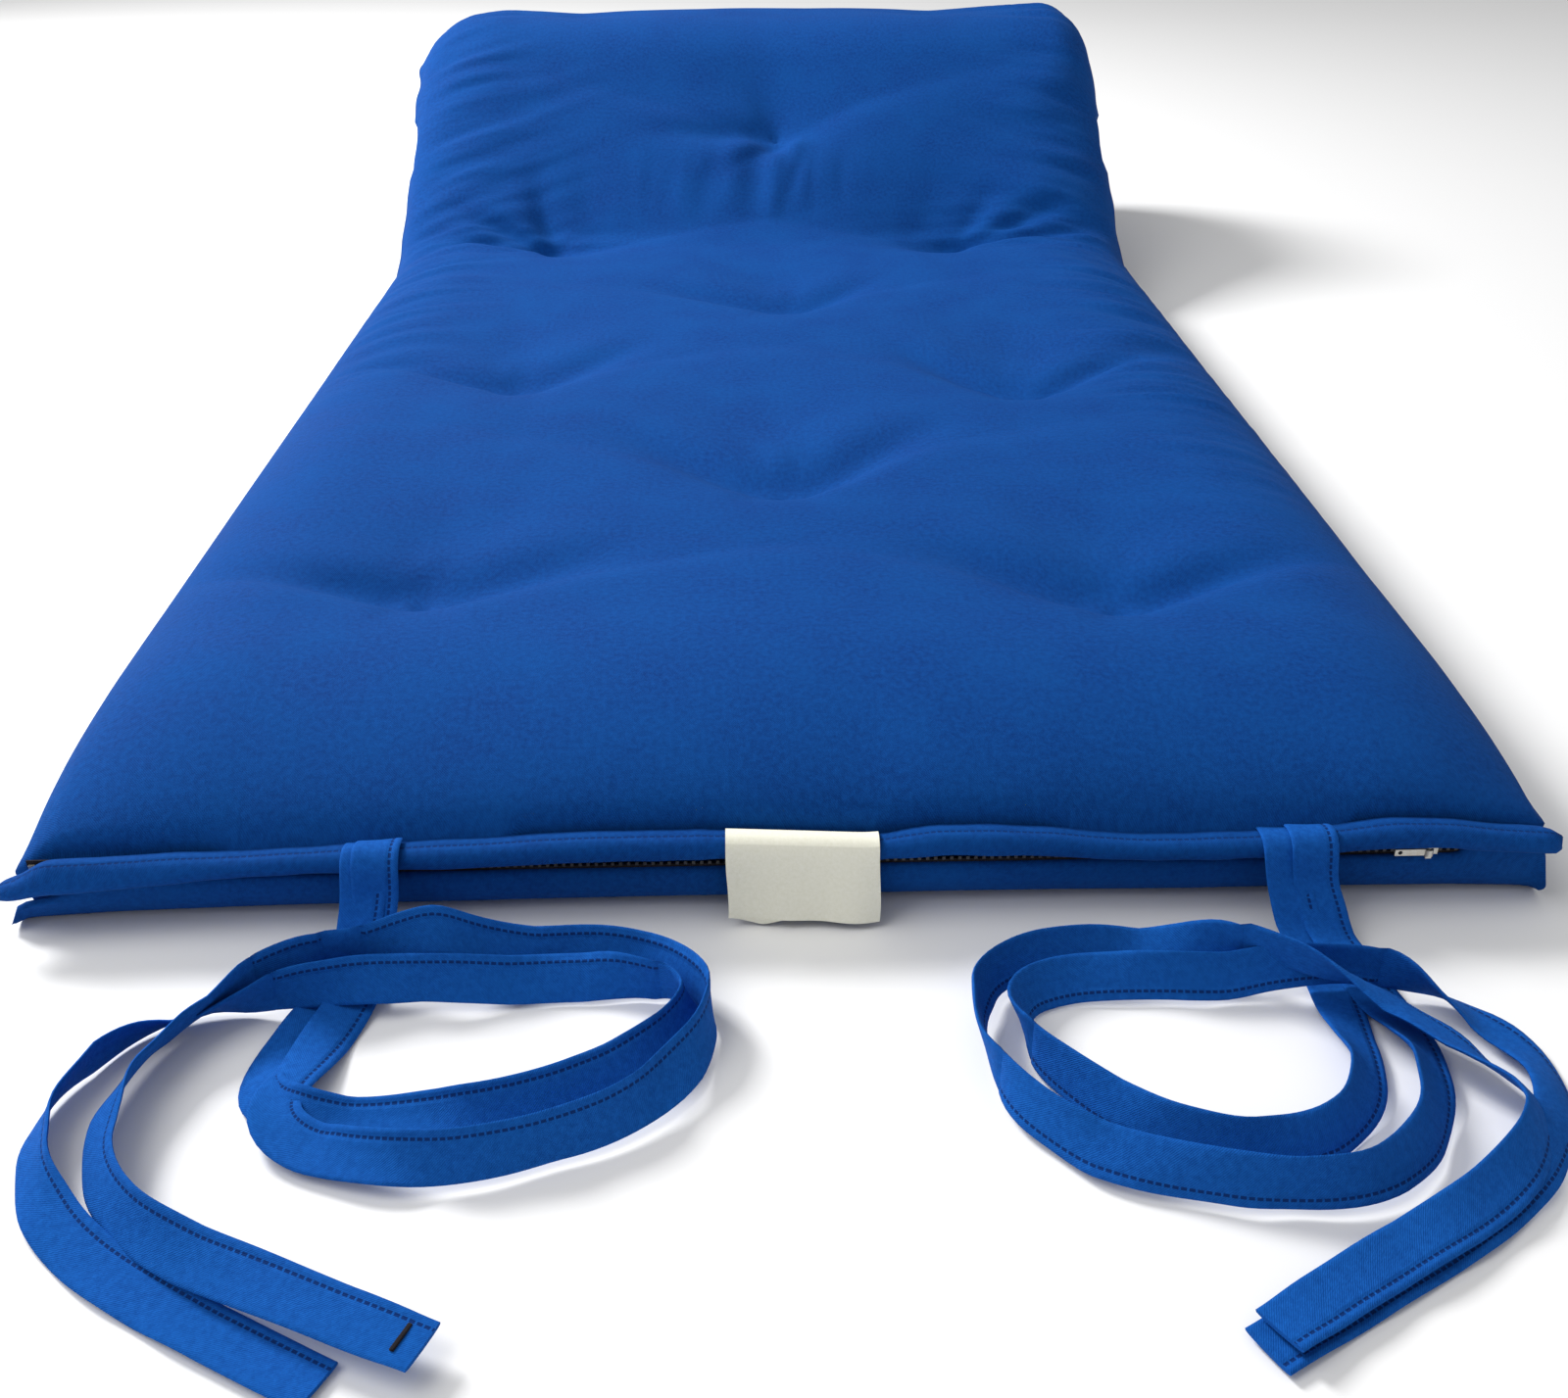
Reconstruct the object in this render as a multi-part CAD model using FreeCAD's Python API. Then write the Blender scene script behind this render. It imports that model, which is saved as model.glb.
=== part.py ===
import FreeCAD, Part
import math
import os

# Roll-up floor futon mattress with its head end rolled under, in millimetres.
# +Y runs from the zipped foot edge to the head end and +X to the right.
# The model is built with the foot edge at Y = 0 and moved to a centred origin on export.

Vec = FreeCAD.Vector

# Mattress
width = 762.0              # across, seam to seam
length = 2032.0            # along the middle plane, unrolled
loft = 85.0                # full thickness
seam_drop = 4.0            # the side seam sits this much below the middle plane
crown_half = 230.0         # the flat part of the crown, each side of the middle
edge_taper = 150.0         # the foot and head ends thin out over this length
nose_height = 20.0         # thickness left at the foot edge, where the zipper is sewn
nose_setback = 5.0         # the stuffed nose stands behind the zipper by this much

# Layers
cover_thick = 1.2
layer_gap = 0.3
foam_thick = 25.4
foam_half_width = 318.0
foam_setback = 60.0        # the foam stops short of the foot and head edges

# Path of the middle plane, seen from the side
ramp_start = 1000.0
ramp_angle = 33.0
ramp_radius = 150.0
ramp_length = 236.5
crest_radius = 130.0
crest_length = 60.0
back_radius = 87.0
inner_radius = 44.0

# Parts of the mattress along that path
roll_first = 5             # the roll starts at this stretch of the path, at the top of the ramp
fold_one = 516.0
fold_two = 922.0
section_gap = 1.0

# Tufts: one and two in turn, by rows from the foot
row_first = 211.0
row_pitch = 203.2
row_count = 9
tuft_side = 208.0
dimple_depth = 28.5
dimple_radius = 55.0
twine_radius = 1.5
knot_radius = 2.4
knot_thick = 2.0
knot_lift = 1.5            # the knot sits this far above the bottom of its dimple
twine_low = -30.0

# Zipper, along the foot edge
zip_left = -372.0
zip_right = 345.0
zip_height = 32.0          # middle of the chain
tape_width = 5.4
tape_thick = 0.8
tape_back = 2.4            # rear face of the tapes
row_gap = 1.4              # between the two rows of teeth, where the slider's wedge runs
tooth_pitch = 4.0
tooth_length = 1.6
tooth_height = 1.8
tooth_depth = 1.6
stop_length = 3.0
flap_depth = 9.0           # folded welt that hangs over the zipper
flap_thick = 2.5
flap_bottom = 38.5
hem_height = 3.6           # folded edge of the bottom panel, below the lower tape
seat_gap = 0.2
slider_x = 318.0
slider_length = 12.0
slider_height = 7.0
slider_plate = 1.0
slider_clear = 0.4
wedge_thick = 0.7
wedge_length = 5.0
post_radius = 0.8
post_gap = 2.9             # from the slider's face to the post that carries the pull
lug_thick = 1.0
lug_half = 1.5
pull_length = 17.0
pull_width = 3.6
pull_thick = 1.2
pull_hole = 1.1
eye_clear = 0.4
eye_wall = 1.0

# Label
label_left = -30.0
label_right = 45.0
label_top = 41.0
label_bottom = 3.0
label_thick = 0.8
label_gap = 1.0

# Ties: flat sewn straps, drawn as round cords with the cloth area of the strap
tie_radius = 4.5
tie_fillet = 0.45          # arc tangent length, as a share of the shorter run
anchor_half = 20.0
anchor_reach = 8.3
anchor_bottom = 38.0
anchor_thick = 3.5
tie_roots = {"left": -197.0, "right": 253.0}

# Tie routes: X across, Y in front of the foot edge, Z up
tie_routes = {
    "tie_left_inner": [
        (-206, -14, 38), (-206, -14, 26), (-208, -34, 13), (-213, -64, 5), (-226, -94, 5),
        (-236, -122, 5), (-216, -143, 5), (-175, -148, 5), (-117, -142, 5), (-68, -118, 5),
        (-36, -84, 6), (-42, -54, 6), (-78, -40, 6), (-126, -40, 8), (-172, -47, 25),
        (-226, -53, 25), (-260, -66, 6), (-298, -92, 5), (-317, -132, 5), (-311, -172, 5),
        (-287, -206, 5), (-238, -238, 5), (-173, -272, 5),
    ],
    "tie_left_outer": [
        (-188, -14, 38), (-188, -14, 26), (-190, -34, 13), (-194, -64, 5), (-204, -90, 5),
        (-214, -116, 16), (-224, -142, 16), (-206, -162, 5), (-158, -175, 5), (-112, -169, 5),
        (-62, -148, 5), (-18, -112, 5), (-8, -68, 5), (-28, -32, 5), (-72, -19, 5),
        (-122, -22, 8), (-166, -28, 36), (-222, -34, 36), (-262, -82, 18), (-282, -114, 5),
        (-289, -150, 5), (-280, -184, 5), (-250, -212, 5), (-190, -240, 16), (-136, -264, 16),
    ],
    "tie_right_inner": [
        (244, -14, 38), (244, -14, 26), (248, -34, 13), (254, -66, 5), (250, -106, 5),
        (246, -142, 5), (224, -168, 5), (190, -178, 5), (152, -166, 5), (122, -142, 5),
        (102, -112, 5), (102, -78, 5), (122, -58, 5), (158, -58, 5), (196, -62, 8),
        (232, -58, 24), (276, -64, 24), (306, -92, 8), (330, -122, 5), (326, -162, 5),
        (292, -206, 5), (232, -240, 5), (174, -274, 5),
    ],
    "tie_right_outer": [
        (262, -14, 38), (262, -14, 26), (266, -34, 13), (271, -66, 5), (274, -110, 5),
        (266, -158, 5), (240, -190, 5), (202, -200, 5), (154, -193, 5), (108, -172, 5),
        (82, -136, 5), (80, -88, 5), (98, -48, 5), (138, -32, 5), (178, -36, 8),
        (212, -46, 38), (258, -86, 38), (290, -126, 8), (306, -158, 5), (270, -194, 5),
        (204, -224, 5), (160, -250, 5),
    ],
}


# Helpers

def box(x0, x1, y0, y1, z0, z1):
    return Part.makeBox(x1 - x0, y1 - y0, z1 - z0, Vec(x0, y0, z0))


def path_stations():
    """The middle plane as lines and arcs: (kind, length, start point, heading, radius)."""
    half = loft / 2
    segments = []
    y, z, heading = 0.0, half, 0.0
    used = 0.0

    def add(kind, size, radius=0.0):
        nonlocal y, z, heading, used
        segments.append((kind, size, y, z, heading, radius, used))
        if kind == "line":
            y += size * math.cos(heading)
            z += size * math.sin(heading)
            used += size
            return
        turn = size                          # positive turns upwards
        side = 1 if turn > 0 else -1
        cy = y - side * radius * math.sin(heading)
        cz = z + side * radius * math.cos(heading)
        heading += turn
        y = cy + side * radius * math.sin(heading)
        z = cz - side * radius * math.cos(heading)
        used += abs(turn) * radius

    angle = math.radians(ramp_angle)
    add("line", fold_one)
    add("line", fold_two - fold_one)
    add("line", ramp_start - fold_two)
    add("arc", angle, ramp_radius)
    add("line", ramp_length)
    add("arc", -angle, crest_radius)
    add("line", crest_length)
    add("arc", -math.pi, back_radius)
    add("line", crest_length)
    add("arc", -math.pi, inner_radius)
    add("line", length - used)
    return segments


segments = path_stations()
roll_back = max(s[2] for s in segments) + back_radius + loft / 2
label_front = -flap_depth - label_gap - label_thick
origin_shift = Vec(0, -(roll_back + label_front) / 2, 0)


def station(s):
    """Point and heading of the middle plane at a distance s from the foot edge."""
    for kind, size, y, z, heading, radius, start in reversed(segments):
        if s >= start:
            break
    along = s - start
    if kind == "line":
        return y + along * math.cos(heading), z + along * math.sin(heading), heading
    side = 1 if size > 0 else -1
    cy = y - side * radius * math.sin(heading)
    cz = z + side * radius * math.cos(heading)
    heading += side * along / radius
    return cy + side * radius * math.sin(heading), cz - side * radius * math.cos(heading), heading


def place(shape, s):
    """Move a shape made at the origin, with +Y along the path and +Z to the top panel."""
    y, z, heading = station(s)
    moved = shape.copy()
    moved.rotate(Vec(0, 0, 0), Vec(1, 0, 0), math.degrees(heading))
    moved.translate(Vec(0, y, z))
    return moved


def half_lens(inset, top):
    """Half of the cross-section, from the seam line to the top or the bottom panel."""
    side = 1 if top else -1
    seam_z = -seam_drop
    rise = (loft / 2 - inset) * side - seam_z
    edge = width / 2 - inset * 2
    run = edge - crown_half
    radius = (run ** 2 + rise ** 2) / (2 * abs(rise))
    crown_z = seam_z + rise
    mid_angle = math.asin(run / radius) / 2
    mid_x = crown_half + radius * math.sin(mid_angle)
    mid_z = crown_z - side * radius * (1 - math.cos(mid_angle))
    left = Part.Arc(Vec(-edge, 0, seam_z), Vec(-mid_x, 0, mid_z), Vec(-crown_half, 0, crown_z))
    crown = Part.LineSegment(Vec(-crown_half, 0, crown_z), Vec(crown_half, 0, crown_z))
    right = Part.Arc(Vec(crown_half, 0, crown_z), Vec(mid_x, 0, mid_z), Vec(edge, 0, seam_z))
    base = Part.LineSegment(Vec(edge, 0, seam_z), Vec(-edge, 0, seam_z))
    return Part.Face(Part.Wire([c.toShape() for c in (left, crown, right, base)]))


def slab(half_width, low, high):
    """A plain rectangular cross-section."""
    corners = [(-half_width, low), (half_width, low), (half_width, high), (-half_width, high)]
    points = [Vec(x, 0, z) for x, z in corners]
    return Part.Face(Part.makePolygon(points + points[:1]))


def sweep(face, first, last, start_trim=0.0, end_trim=0.0):
    """Carry a cross-section along the path's segments first to last, as one solid."""
    pieces = []
    for index in range(first, last + 1):
        kind, size, y, z, heading, radius, start = segments[index]
        trim = start_trim if index == first else 0.0
        cut = end_trim if index == last else 0.0
        if kind == "line":
            here = place(face, start + trim)
            run = size - trim - cut
            pieces.append(here.extrude(Vec(0, run * math.cos(heading), run * math.sin(heading))))
            continue
        side = 1 if size > 0 else -1
        centre = Vec(0, y - side * radius * math.sin(heading), z + side * radius * math.cos(heading))
        here = face.copy()
        here.rotate(Vec(0, 0, 0), Vec(1, 0, 0), math.degrees(heading))
        here.translate(Vec(0, y, z))
        pieces.append(here.revolve(centre, Vec(1, 0, 0), math.degrees(size)))
    whole = pieces[0]
    if len(pieces) > 1:
        whole = pieces[0].multiFuse(pieces[1:])
    return whole.removeSplitter()


def end_limit(inset, foot):
    """Wedge-shaped space that thins the mattress towards its foot or head edge."""
    seam_z = -seam_drop
    nose = nose_height / 2 - inset
    top = loft / 2 - inset
    edge = inset + (nose_setback if foot else 0.0)
    knee = edge_taper * 0.3
    knee_top, knee_bottom = top * 0.72, top * 0.8
    outline = [(edge, seam_z - nose), (edge, seam_z + nose), (knee, knee_top), (edge_taper, top),
               (length, top), (length, -top), (edge_taper, -top), (knee, -knee_bottom)]
    direction = 1 if foot else -1
    points = [Vec(-width, direction * along, z) for along, z in outline]
    face = Part.Face(Part.makePolygon(points + points[:1]))
    return place(face.extrude(Vec(2 * width, 0, 0)), 0.0 if foot else length)


def tuft_places():
    """Every tuft as (distance along the path, x)."""
    tufts = []
    for row in range(row_count):
        s = row_first + row * row_pitch
        sides = (-tuft_side, tuft_side) if row % 2 == 0 else (0.0,)
        tufts += [(s, x) for x in sides]
    return tufts


def dimple(s, x, inset):
    """Conical hollow that a tuft pulls into the top panel."""
    slope = dimple_depth / dimple_radius
    shift = inset * math.sqrt(1 + slope ** 2)
    over = 6.0
    bottom = loft / 2 - dimple_depth - shift
    height = dimple_depth + shift + over
    return place(Part.makeCone(0.0, height / slope, height, Vec(x, 0, bottom)), s)


def twine_rod(s, x, radius, low, high):
    return place(Part.makeCylinder(radius, high - low, Vec(x, 0, low)), s)


def tuft_stitch(s, x):
    """One tuft: twine through the layers, tied off in a knot at each end."""
    apex = loft / 2 - dimple_depth
    top = apex + knot_lift
    rod = Part.makeCylinder(twine_radius, top - twine_low + knot_thick / 2, Vec(x, 0, twine_low))
    upper = Part.makeCylinder(knot_radius, knot_thick, Vec(x, 0, top))
    lower = Part.makeCylinder(knot_radius, knot_thick, Vec(x, 0, twine_low - knot_thick))
    return place(rod.multiFuse([upper, lower]), s)


def cord(points, radius):
    """A round tube through straight runs joined by tangent arcs, and its length."""
    route = [Vec(*p) for p in points]
    runs = [(b - a).Length for a, b in zip(route, route[1:])]
    edges, length_sum, tightest = [], 0.0, 1e9
    last = route[0]
    for index in range(1, len(route) - 1):
        into = (route[index] - route[index - 1]).normalize()
        away = (route[index + 1] - route[index]).normalize()
        turn = into.getAngle(away)
        reach = tie_fillet * min(runs[index - 1], runs[index])
        bend = reach / math.tan(turn / 2)
        start = route[index] - into * reach
        end = route[index] + away * reach
        inward = (away - into).normalize()
        middle = route[index] + inward * (bend / math.cos(turn / 2) - bend)
        edges.append(Part.LineSegment(last, start).toShape())
        edges.append(Part.Arc(start, middle, end).toShape())
        length_sum += (start - last).Length + bend * turn
        tightest = min(tightest, bend)
        last = end
    edges.append(Part.LineSegment(last, route[-1]).toShape())
    length_sum += (route[-1] - last).Length
    spine = Part.Wire(edges)
    heading = (route[1] - route[0]).normalize()
    ring = Part.Wire(Part.makeCircle(radius, route[0], heading))
    return spine.makePipeShell([ring], True, False), length_sum, tightest


def save(name, shape):
    """Move a piece to the centred origin, test it and write its file."""
    moved = shape.copy()
    moved.translate(origin_shift)
    if not moved.isValid():
        print("NOT VALID", name)
    solids = len(moved.Solids)
    print(f"{name:28s} solids {solids:3d}  volume {moved.Volume / 1000:10.1f} cm3")
    moved.exportStep(f"parts/{name}.step")


# Mattress layers

def layer_body(face, inset, first, last, trims, part):
    """A cross-section carried along one section of the path, thinned at an outer edge."""
    if part == "foot":
        return sweep(face, first, last, *trims).common(end_limit(inset, True))
    if part == "roll":
        tip = sweep(face, last, last).common(end_limit(inset, False))
        return sweep(face, first, last - 1, trims[0]).fuse(tip).removeSplitter()
    return sweep(face, first, last, *trims)


def section_layers(first, last, trims, part, tufts):
    """Cover, batting and foam of one section, each as one solid."""
    inner = cover_thick + layer_gap
    half = foam_thick / 2
    foam_trims = [trims[0] + (foam_setback if part == "foot" else 0.0),
                  trims[1] + (foam_setback if part == "roll" else 0.0)]
    room_trims = [trim - layer_gap if trim >= foam_setback else trim for trim in foam_trims]
    foam = sweep(slab(foam_half_width, -half, half), first, last, *foam_trims)
    room_face = slab(foam_half_width + layer_gap, -half - layer_gap, half + layer_gap)
    room = sweep(room_face, first, last, *room_trims)
    hole_radius = twine_radius + layer_gap
    knot_room = [twine_rod(s, x, knot_radius + layer_gap, twine_low - knot_thick - layer_gap,
                           twine_low + layer_gap) for s, x in tufts]
    holes = [twine_rod(s, x, hole_radius, twine_low, loft / 2) for s, x in tufts]
    pieces = {"foam_core": foam.cut(holes)}
    for side in ("top", "bottom"):
        top = side == "top"
        outer = layer_body(half_lens(0.0, top), 0.0, first, last, trims, part)
        hollow = layer_body(half_lens(cover_thick, top), cover_thick, first, last, trims, part)
        batting = layer_body(half_lens(inner, top), inner, first, last, trims, part)
        if top:
            outer = outer.cut([dimple(s, x, 0.0) for s, x in tufts])
            hollow = hollow.cut([dimple(s, x, cover_thick) for s, x in tufts])
            batting = batting.cut([dimple(s, x, inner) for s, x in tufts])
            pieces["cover_top"] = outer.cut(hollow).cut(holes)
        else:
            pieces["cover_bottom"] = outer.cut(hollow)
        pieces["batting_" + side] = batting.cut([room] + holes + knot_room)
    return pieces


def make_mattress():
    """The foot, middle, ramp and roll parts; the last two belong to one rigid section."""
    last = len(segments) - 1
    gap = section_gap / 2
    crest_start = segments[roll_first][-1]
    plan = {
        "foot": (0, 0, [0.0, gap], 0.0, fold_one),
        "middle": (1, 1, [gap, gap], fold_one, fold_two),
        "ramp": (2, roll_first - 1, [gap, 0.0], fold_two, crest_start),
        "roll": (roll_first, last, [0.0, 0.0], crest_start, length),
    }
    for part, (first, final, trims, low, high) in plan.items():
        tufts = [(s, x) for s, x in tuft_places() if low < s < high]
        for layer, shape in section_layers(first, final, trims, part, tufts).items():
            save(f"{layer}_{part}", shape)
        stitches = [tuft_stitch(s, x) for s, x in tufts]
        save(f"tuft_stitches_{part}", Part.makeCompound(stitches))


# Zipper

tape_front = tape_back - tape_thick
tooth_front = (tape_front + tape_back - tooth_depth) / 2


def tooth_row(upper):
    """One row of teeth, a solid each, offset by half a pitch from the other row."""
    low = zip_height + row_gap / 2 if upper else zip_height - row_gap / 2 - tooth_height
    offset = 0.0 if upper else tooth_pitch / 2
    count = int((zip_right - zip_left - 2 * stop_length - 2 * tooth_pitch) / tooth_pitch)
    teeth = []
    for index in range(count):
        x = zip_left + stop_length + tooth_pitch + offset + index * tooth_pitch
        teeth.append(box(x, x + tooth_length, tooth_front, tooth_front + tooth_depth,
                         low, low + tooth_height))
    return teeth


def make_zipper():
    upper_low = zip_height + row_gap / 2 + tooth_height - seat_gap
    lower_high = zip_height - row_gap / 2 - tooth_height + seat_gap
    for name, low, high in (("upper", upper_low, flap_bottom),
                            ("lower", lower_high - tape_width, lower_high)):
        tape = box(zip_left, zip_right, tape_front, tape_back, low, high)
        teeth = Part.makeCompound(tooth_row(name == "upper"))
        save("zipper_tape_" + name, tape.cut(teeth))
        save("zipper_teeth_" + name, teeth)
    hem_top = lower_high - tape_width
    nose_face = nose_setback - seat_gap
    half = width / 2 - 3.0
    save("front_flap", box(-half, half, -flap_depth, nose_face, flap_bottom,
                           flap_bottom + flap_thick))
    save("front_hem", box(-half, half, tape_front - tape_thick, nose_face,
                          hem_top - hem_height, hem_top))
    stops = []
    for x in (zip_left + 1.0, zip_right - 1.0 - stop_length):
        stops.append(box(x, x + stop_length, tape_front - 1.2, tape_front,
                         lower_high - 2.0, upper_low + 2.0))
    save("zipper_stops", Part.makeCompound(stops))


slider_front = tooth_front - slider_clear - slider_plate
post_y = slider_front - post_gap


def make_slider():
    """Two plates joined by the wedge, with a post between two lugs for the pull."""
    x0, x1 = slider_x - slider_length / 2, slider_x + slider_length / 2
    z0, z1 = zip_height - slider_height / 2, zip_height + slider_height / 2
    inside = slider_front + slider_plate
    back = tooth_front + tooth_depth + slider_clear
    front_plate = box(x0, x1, slider_front, inside, z0, z1)
    back_plate = box(x0, x1, back, back + slider_plate, z0, z1)
    wedge = box(x0 + 1.0, x0 + 1.0 + wedge_length, slider_front + slider_plate / 2,
                back + slider_plate / 2, zip_height - wedge_thick / 2, zip_height + wedge_thick / 2)
    lugs = [box(slider_x - lug_half, slider_x + lug_half, post_y - post_radius,
                slider_front + slider_plate / 2, low, low + lug_thick) for low in (z0, z1 - lug_thick)]
    post = Part.makeCylinder(post_radius, slider_height, Vec(slider_x, post_y, z0))
    slider = front_plate.multiFuse([back_plate, wedge, post] + lugs).removeSplitter()
    save("zipper_slider", slider)


def make_pull():
    """Flat tab with an eye round the slider's post."""
    low = zip_height - pull_width / 2
    eye_inner = post_radius + eye_clear
    eye = Part.makeCylinder(eye_inner + eye_wall, pull_width, Vec(slider_x, post_y, low))
    tab = box(slider_x - pull_length, slider_x, post_y - pull_thick / 2, post_y + pull_thick / 2,
              low, low + pull_width)
    bore = Part.makeCylinder(eye_inner, pull_width, Vec(slider_x, post_y, low))
    hole_at = Vec(slider_x - pull_length + 2 * pull_hole + 0.5, post_y - pull_thick, zip_height)
    hole = Part.makeCylinder(pull_hole, 2 * pull_thick, hole_at, Vec(0, 1, 0))
    save("zipper_pull", eye.fuse(tab).cut([bore, hole]).removeSplitter())


# Label and ties

def make_label():
    rear = -flap_depth - label_gap
    save("label", box(label_left, label_right, rear - label_thick, rear, label_bottom, label_top))


def make_ties():
    for side, x in tie_roots.items():
        front = -flap_depth - anchor_reach
        save("tie_anchor_" + side, box(x - anchor_half, x + anchor_half, front, -flap_depth,
                                       anchor_bottom, anchor_bottom + anchor_thick))
    for name, route in tie_routes.items():
        tube, run, tightest = cord(route, tie_radius)
        section = math.pi * tie_radius ** 2
        print(f"{name}: length {run:.0f}, tightest arc {tightest:.1f}, "
              f"volume over section times length {tube.Volume / (section * run):.4f}, "
              f"lowest {tube.optimalBoundingBox(True, False).ZMin:.2f}")
        save(name, tube)


os.makedirs("parts", exist_ok=True)
make_mattress()
make_zipper()
make_slider()
make_pull()
make_label()
make_ties()
print(f"size {width:.0f} x {roll_back - label_front:.1f}, shifted by {origin_shift.y:.3f}")
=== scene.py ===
import math

import bpy
import numpy as np
from mathutils import Matrix, Vector, noise


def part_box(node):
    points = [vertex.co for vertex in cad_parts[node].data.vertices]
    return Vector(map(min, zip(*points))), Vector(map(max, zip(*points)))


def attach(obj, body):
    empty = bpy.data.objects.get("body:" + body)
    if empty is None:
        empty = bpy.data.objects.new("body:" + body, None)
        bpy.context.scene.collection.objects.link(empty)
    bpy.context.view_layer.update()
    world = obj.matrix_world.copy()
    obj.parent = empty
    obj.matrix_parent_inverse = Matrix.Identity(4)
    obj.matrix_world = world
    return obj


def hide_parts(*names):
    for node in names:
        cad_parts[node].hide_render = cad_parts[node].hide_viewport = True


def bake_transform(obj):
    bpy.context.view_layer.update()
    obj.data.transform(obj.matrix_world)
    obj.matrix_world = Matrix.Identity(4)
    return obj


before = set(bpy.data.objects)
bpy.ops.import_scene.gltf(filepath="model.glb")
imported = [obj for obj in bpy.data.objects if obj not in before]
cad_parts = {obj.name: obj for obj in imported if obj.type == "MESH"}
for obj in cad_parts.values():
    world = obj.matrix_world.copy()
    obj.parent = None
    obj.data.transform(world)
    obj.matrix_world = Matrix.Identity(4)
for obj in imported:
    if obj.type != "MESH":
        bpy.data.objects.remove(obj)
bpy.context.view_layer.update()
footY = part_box("front_flap")[0].y + 0.009    # the foot edge; the flap stands 9 mm in front of it
print("frame loaded, foot edge at y =", round(footY, 4))


def deselectAll():
    if bpy.context.object and bpy.context.object.mode != "OBJECT":
        bpy.ops.object.mode_set(mode="OBJECT")
    bpy.ops.object.select_all(action="DESELECT")


def makeActive(obj):
    deselectAll()
    obj.select_set(True)
    bpy.context.view_layer.objects.active = obj


def getCoords(mesh):
    co = np.zeros(len(mesh.vertices) * 3)
    mesh.vertices.foreach_get("co", co)
    return co.reshape(-1, 3)


def setCoords(mesh, co):
    mesh.vertices.foreach_set("co", np.asarray(co, float).ravel())
    mesh.update()


def smoothstep(a, b, v):
    t = np.clip((v - a) / (b - a), 0, 1)
    return t * t * (3 - 2 * t)


def runLengths(points):
    # distance along a line of points, from 0
    return np.concatenate([[0], np.cumsum(np.linalg.norm(np.diff(points, axis=0), axis=1))])


def applyModifiers(obj):
    makeActive(obj)
    for name in [m.name for m in obj.modifiers]:
        bpy.ops.object.modifier_apply(modifier=name)


def meshFromRings(name, rings, closedRing=True, capEnds=True):
    # Quads between rings of points, with a u, v map in metres along and round them.
    count = len(rings[0])
    verts = [tuple(p) for ring in rings for p in ring]
    faces = []
    steps = count if closedRing else count - 1
    for i in range(len(rings) - 1):
        for j in range(steps):
            k = (j + 1) % count
            faces.append((i * count + j, i * count + k, (i + 1) * count + k, (i + 1) * count + j))
    if closedRing and capEnds:
        last = (len(rings) - 1) * count
        faces.append(tuple(reversed(range(count))))
        faces.append(tuple(last + j for j in range(count)))
    mesh = bpy.data.meshes.new(name)
    mesh.from_pydata(verts, [], faces)
    mesh.update()
    obj = bpy.data.objects.new(name, mesh)
    bpy.context.scene.collection.objects.link(obj)
    along = runLengths(np.array([np.mean(ring, axis=0) for ring in rings]))
    ring0 = np.array(rings[len(rings) // 2])
    around = np.zeros(count + 1)
    around[1:] = np.cumsum(np.linalg.norm(np.roll(ring0, -1, axis=0) - ring0, axis=1))
    uv = mesh.uv_layers.new(name="cloth")
    for poly in mesh.polygons:
        wraps = closedRing and len(poly.vertices) == 4 and \
            {v % count for v in poly.vertices} >= {0, count - 1}
        for loop in poly.loop_indices:
            v = mesh.loops[loop].vertex_index
            j = v % count
            u = around[count] if wraps and j == 0 else around[j]
            uv.data[loop].uv = (u, along[v // count])
    return obj


def outwardNormals(obj):
    makeActive(obj)
    bpy.ops.object.mode_set(mode="EDIT")
    bpy.ops.mesh.select_all(action="SELECT")
    bpy.ops.mesh.normals_make_consistent(inside=False)
    bpy.ops.object.mode_set(mode="OBJECT")


def smoothShade(obj, degrees=None):
    makeActive(obj)
    if degrees is None:
        bpy.ops.object.shade_smooth()
    else:
        bpy.ops.object.shade_smooth_by_angle(angle=math.radians(degrees))


cameraView = {
    "offset": (-0.014, -0.642, 0.494),   # from the middle of the foot edge on the floor
    "pitch": 29.97, "yaw": 1.163, "roll": -0.372,
    "lens": 36.6, "sensor": 36.0,
}


def makeCamera():
    data = bpy.data.cameras.new("camera")
    data.lens = cameraView["lens"]
    data.sensor_width = cameraView["sensor"]
    camera = bpy.data.objects.new("camera", data)
    bpy.context.scene.collection.objects.link(camera)
    x, y, z = cameraView["offset"]
    turn = Matrix.Rotation(math.radians(-cameraView["yaw"]), 4, "Z") \
        @ Matrix.Rotation(math.radians(90 - cameraView["pitch"]), 4, "X") \
        @ Matrix.Rotation(math.radians(cameraView["roll"]), 4, "Z")
    camera.matrix_world = Matrix.Translation((x, footY + y, z)) @ turn
    bpy.context.scene.camera = camera


studio = {
    "floorSize": 40.0, "floorColor": (0.93, 0.93, 0.93, 1),
    "worldColor": (1.0, 1.0, 1.0, 1), "worldStrength": 0.42,
    "lamps": {                       # place from the foot edge, size, watts
        "keyLamp": ((-2.1, 2.1, 2.15), 1.0, 138),
        "fillLamp": ((-1.2, -0.2, 2.0), 1.6, 20),
    },
    "aim": (0.0, 0.75, 0.1),
}


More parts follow.
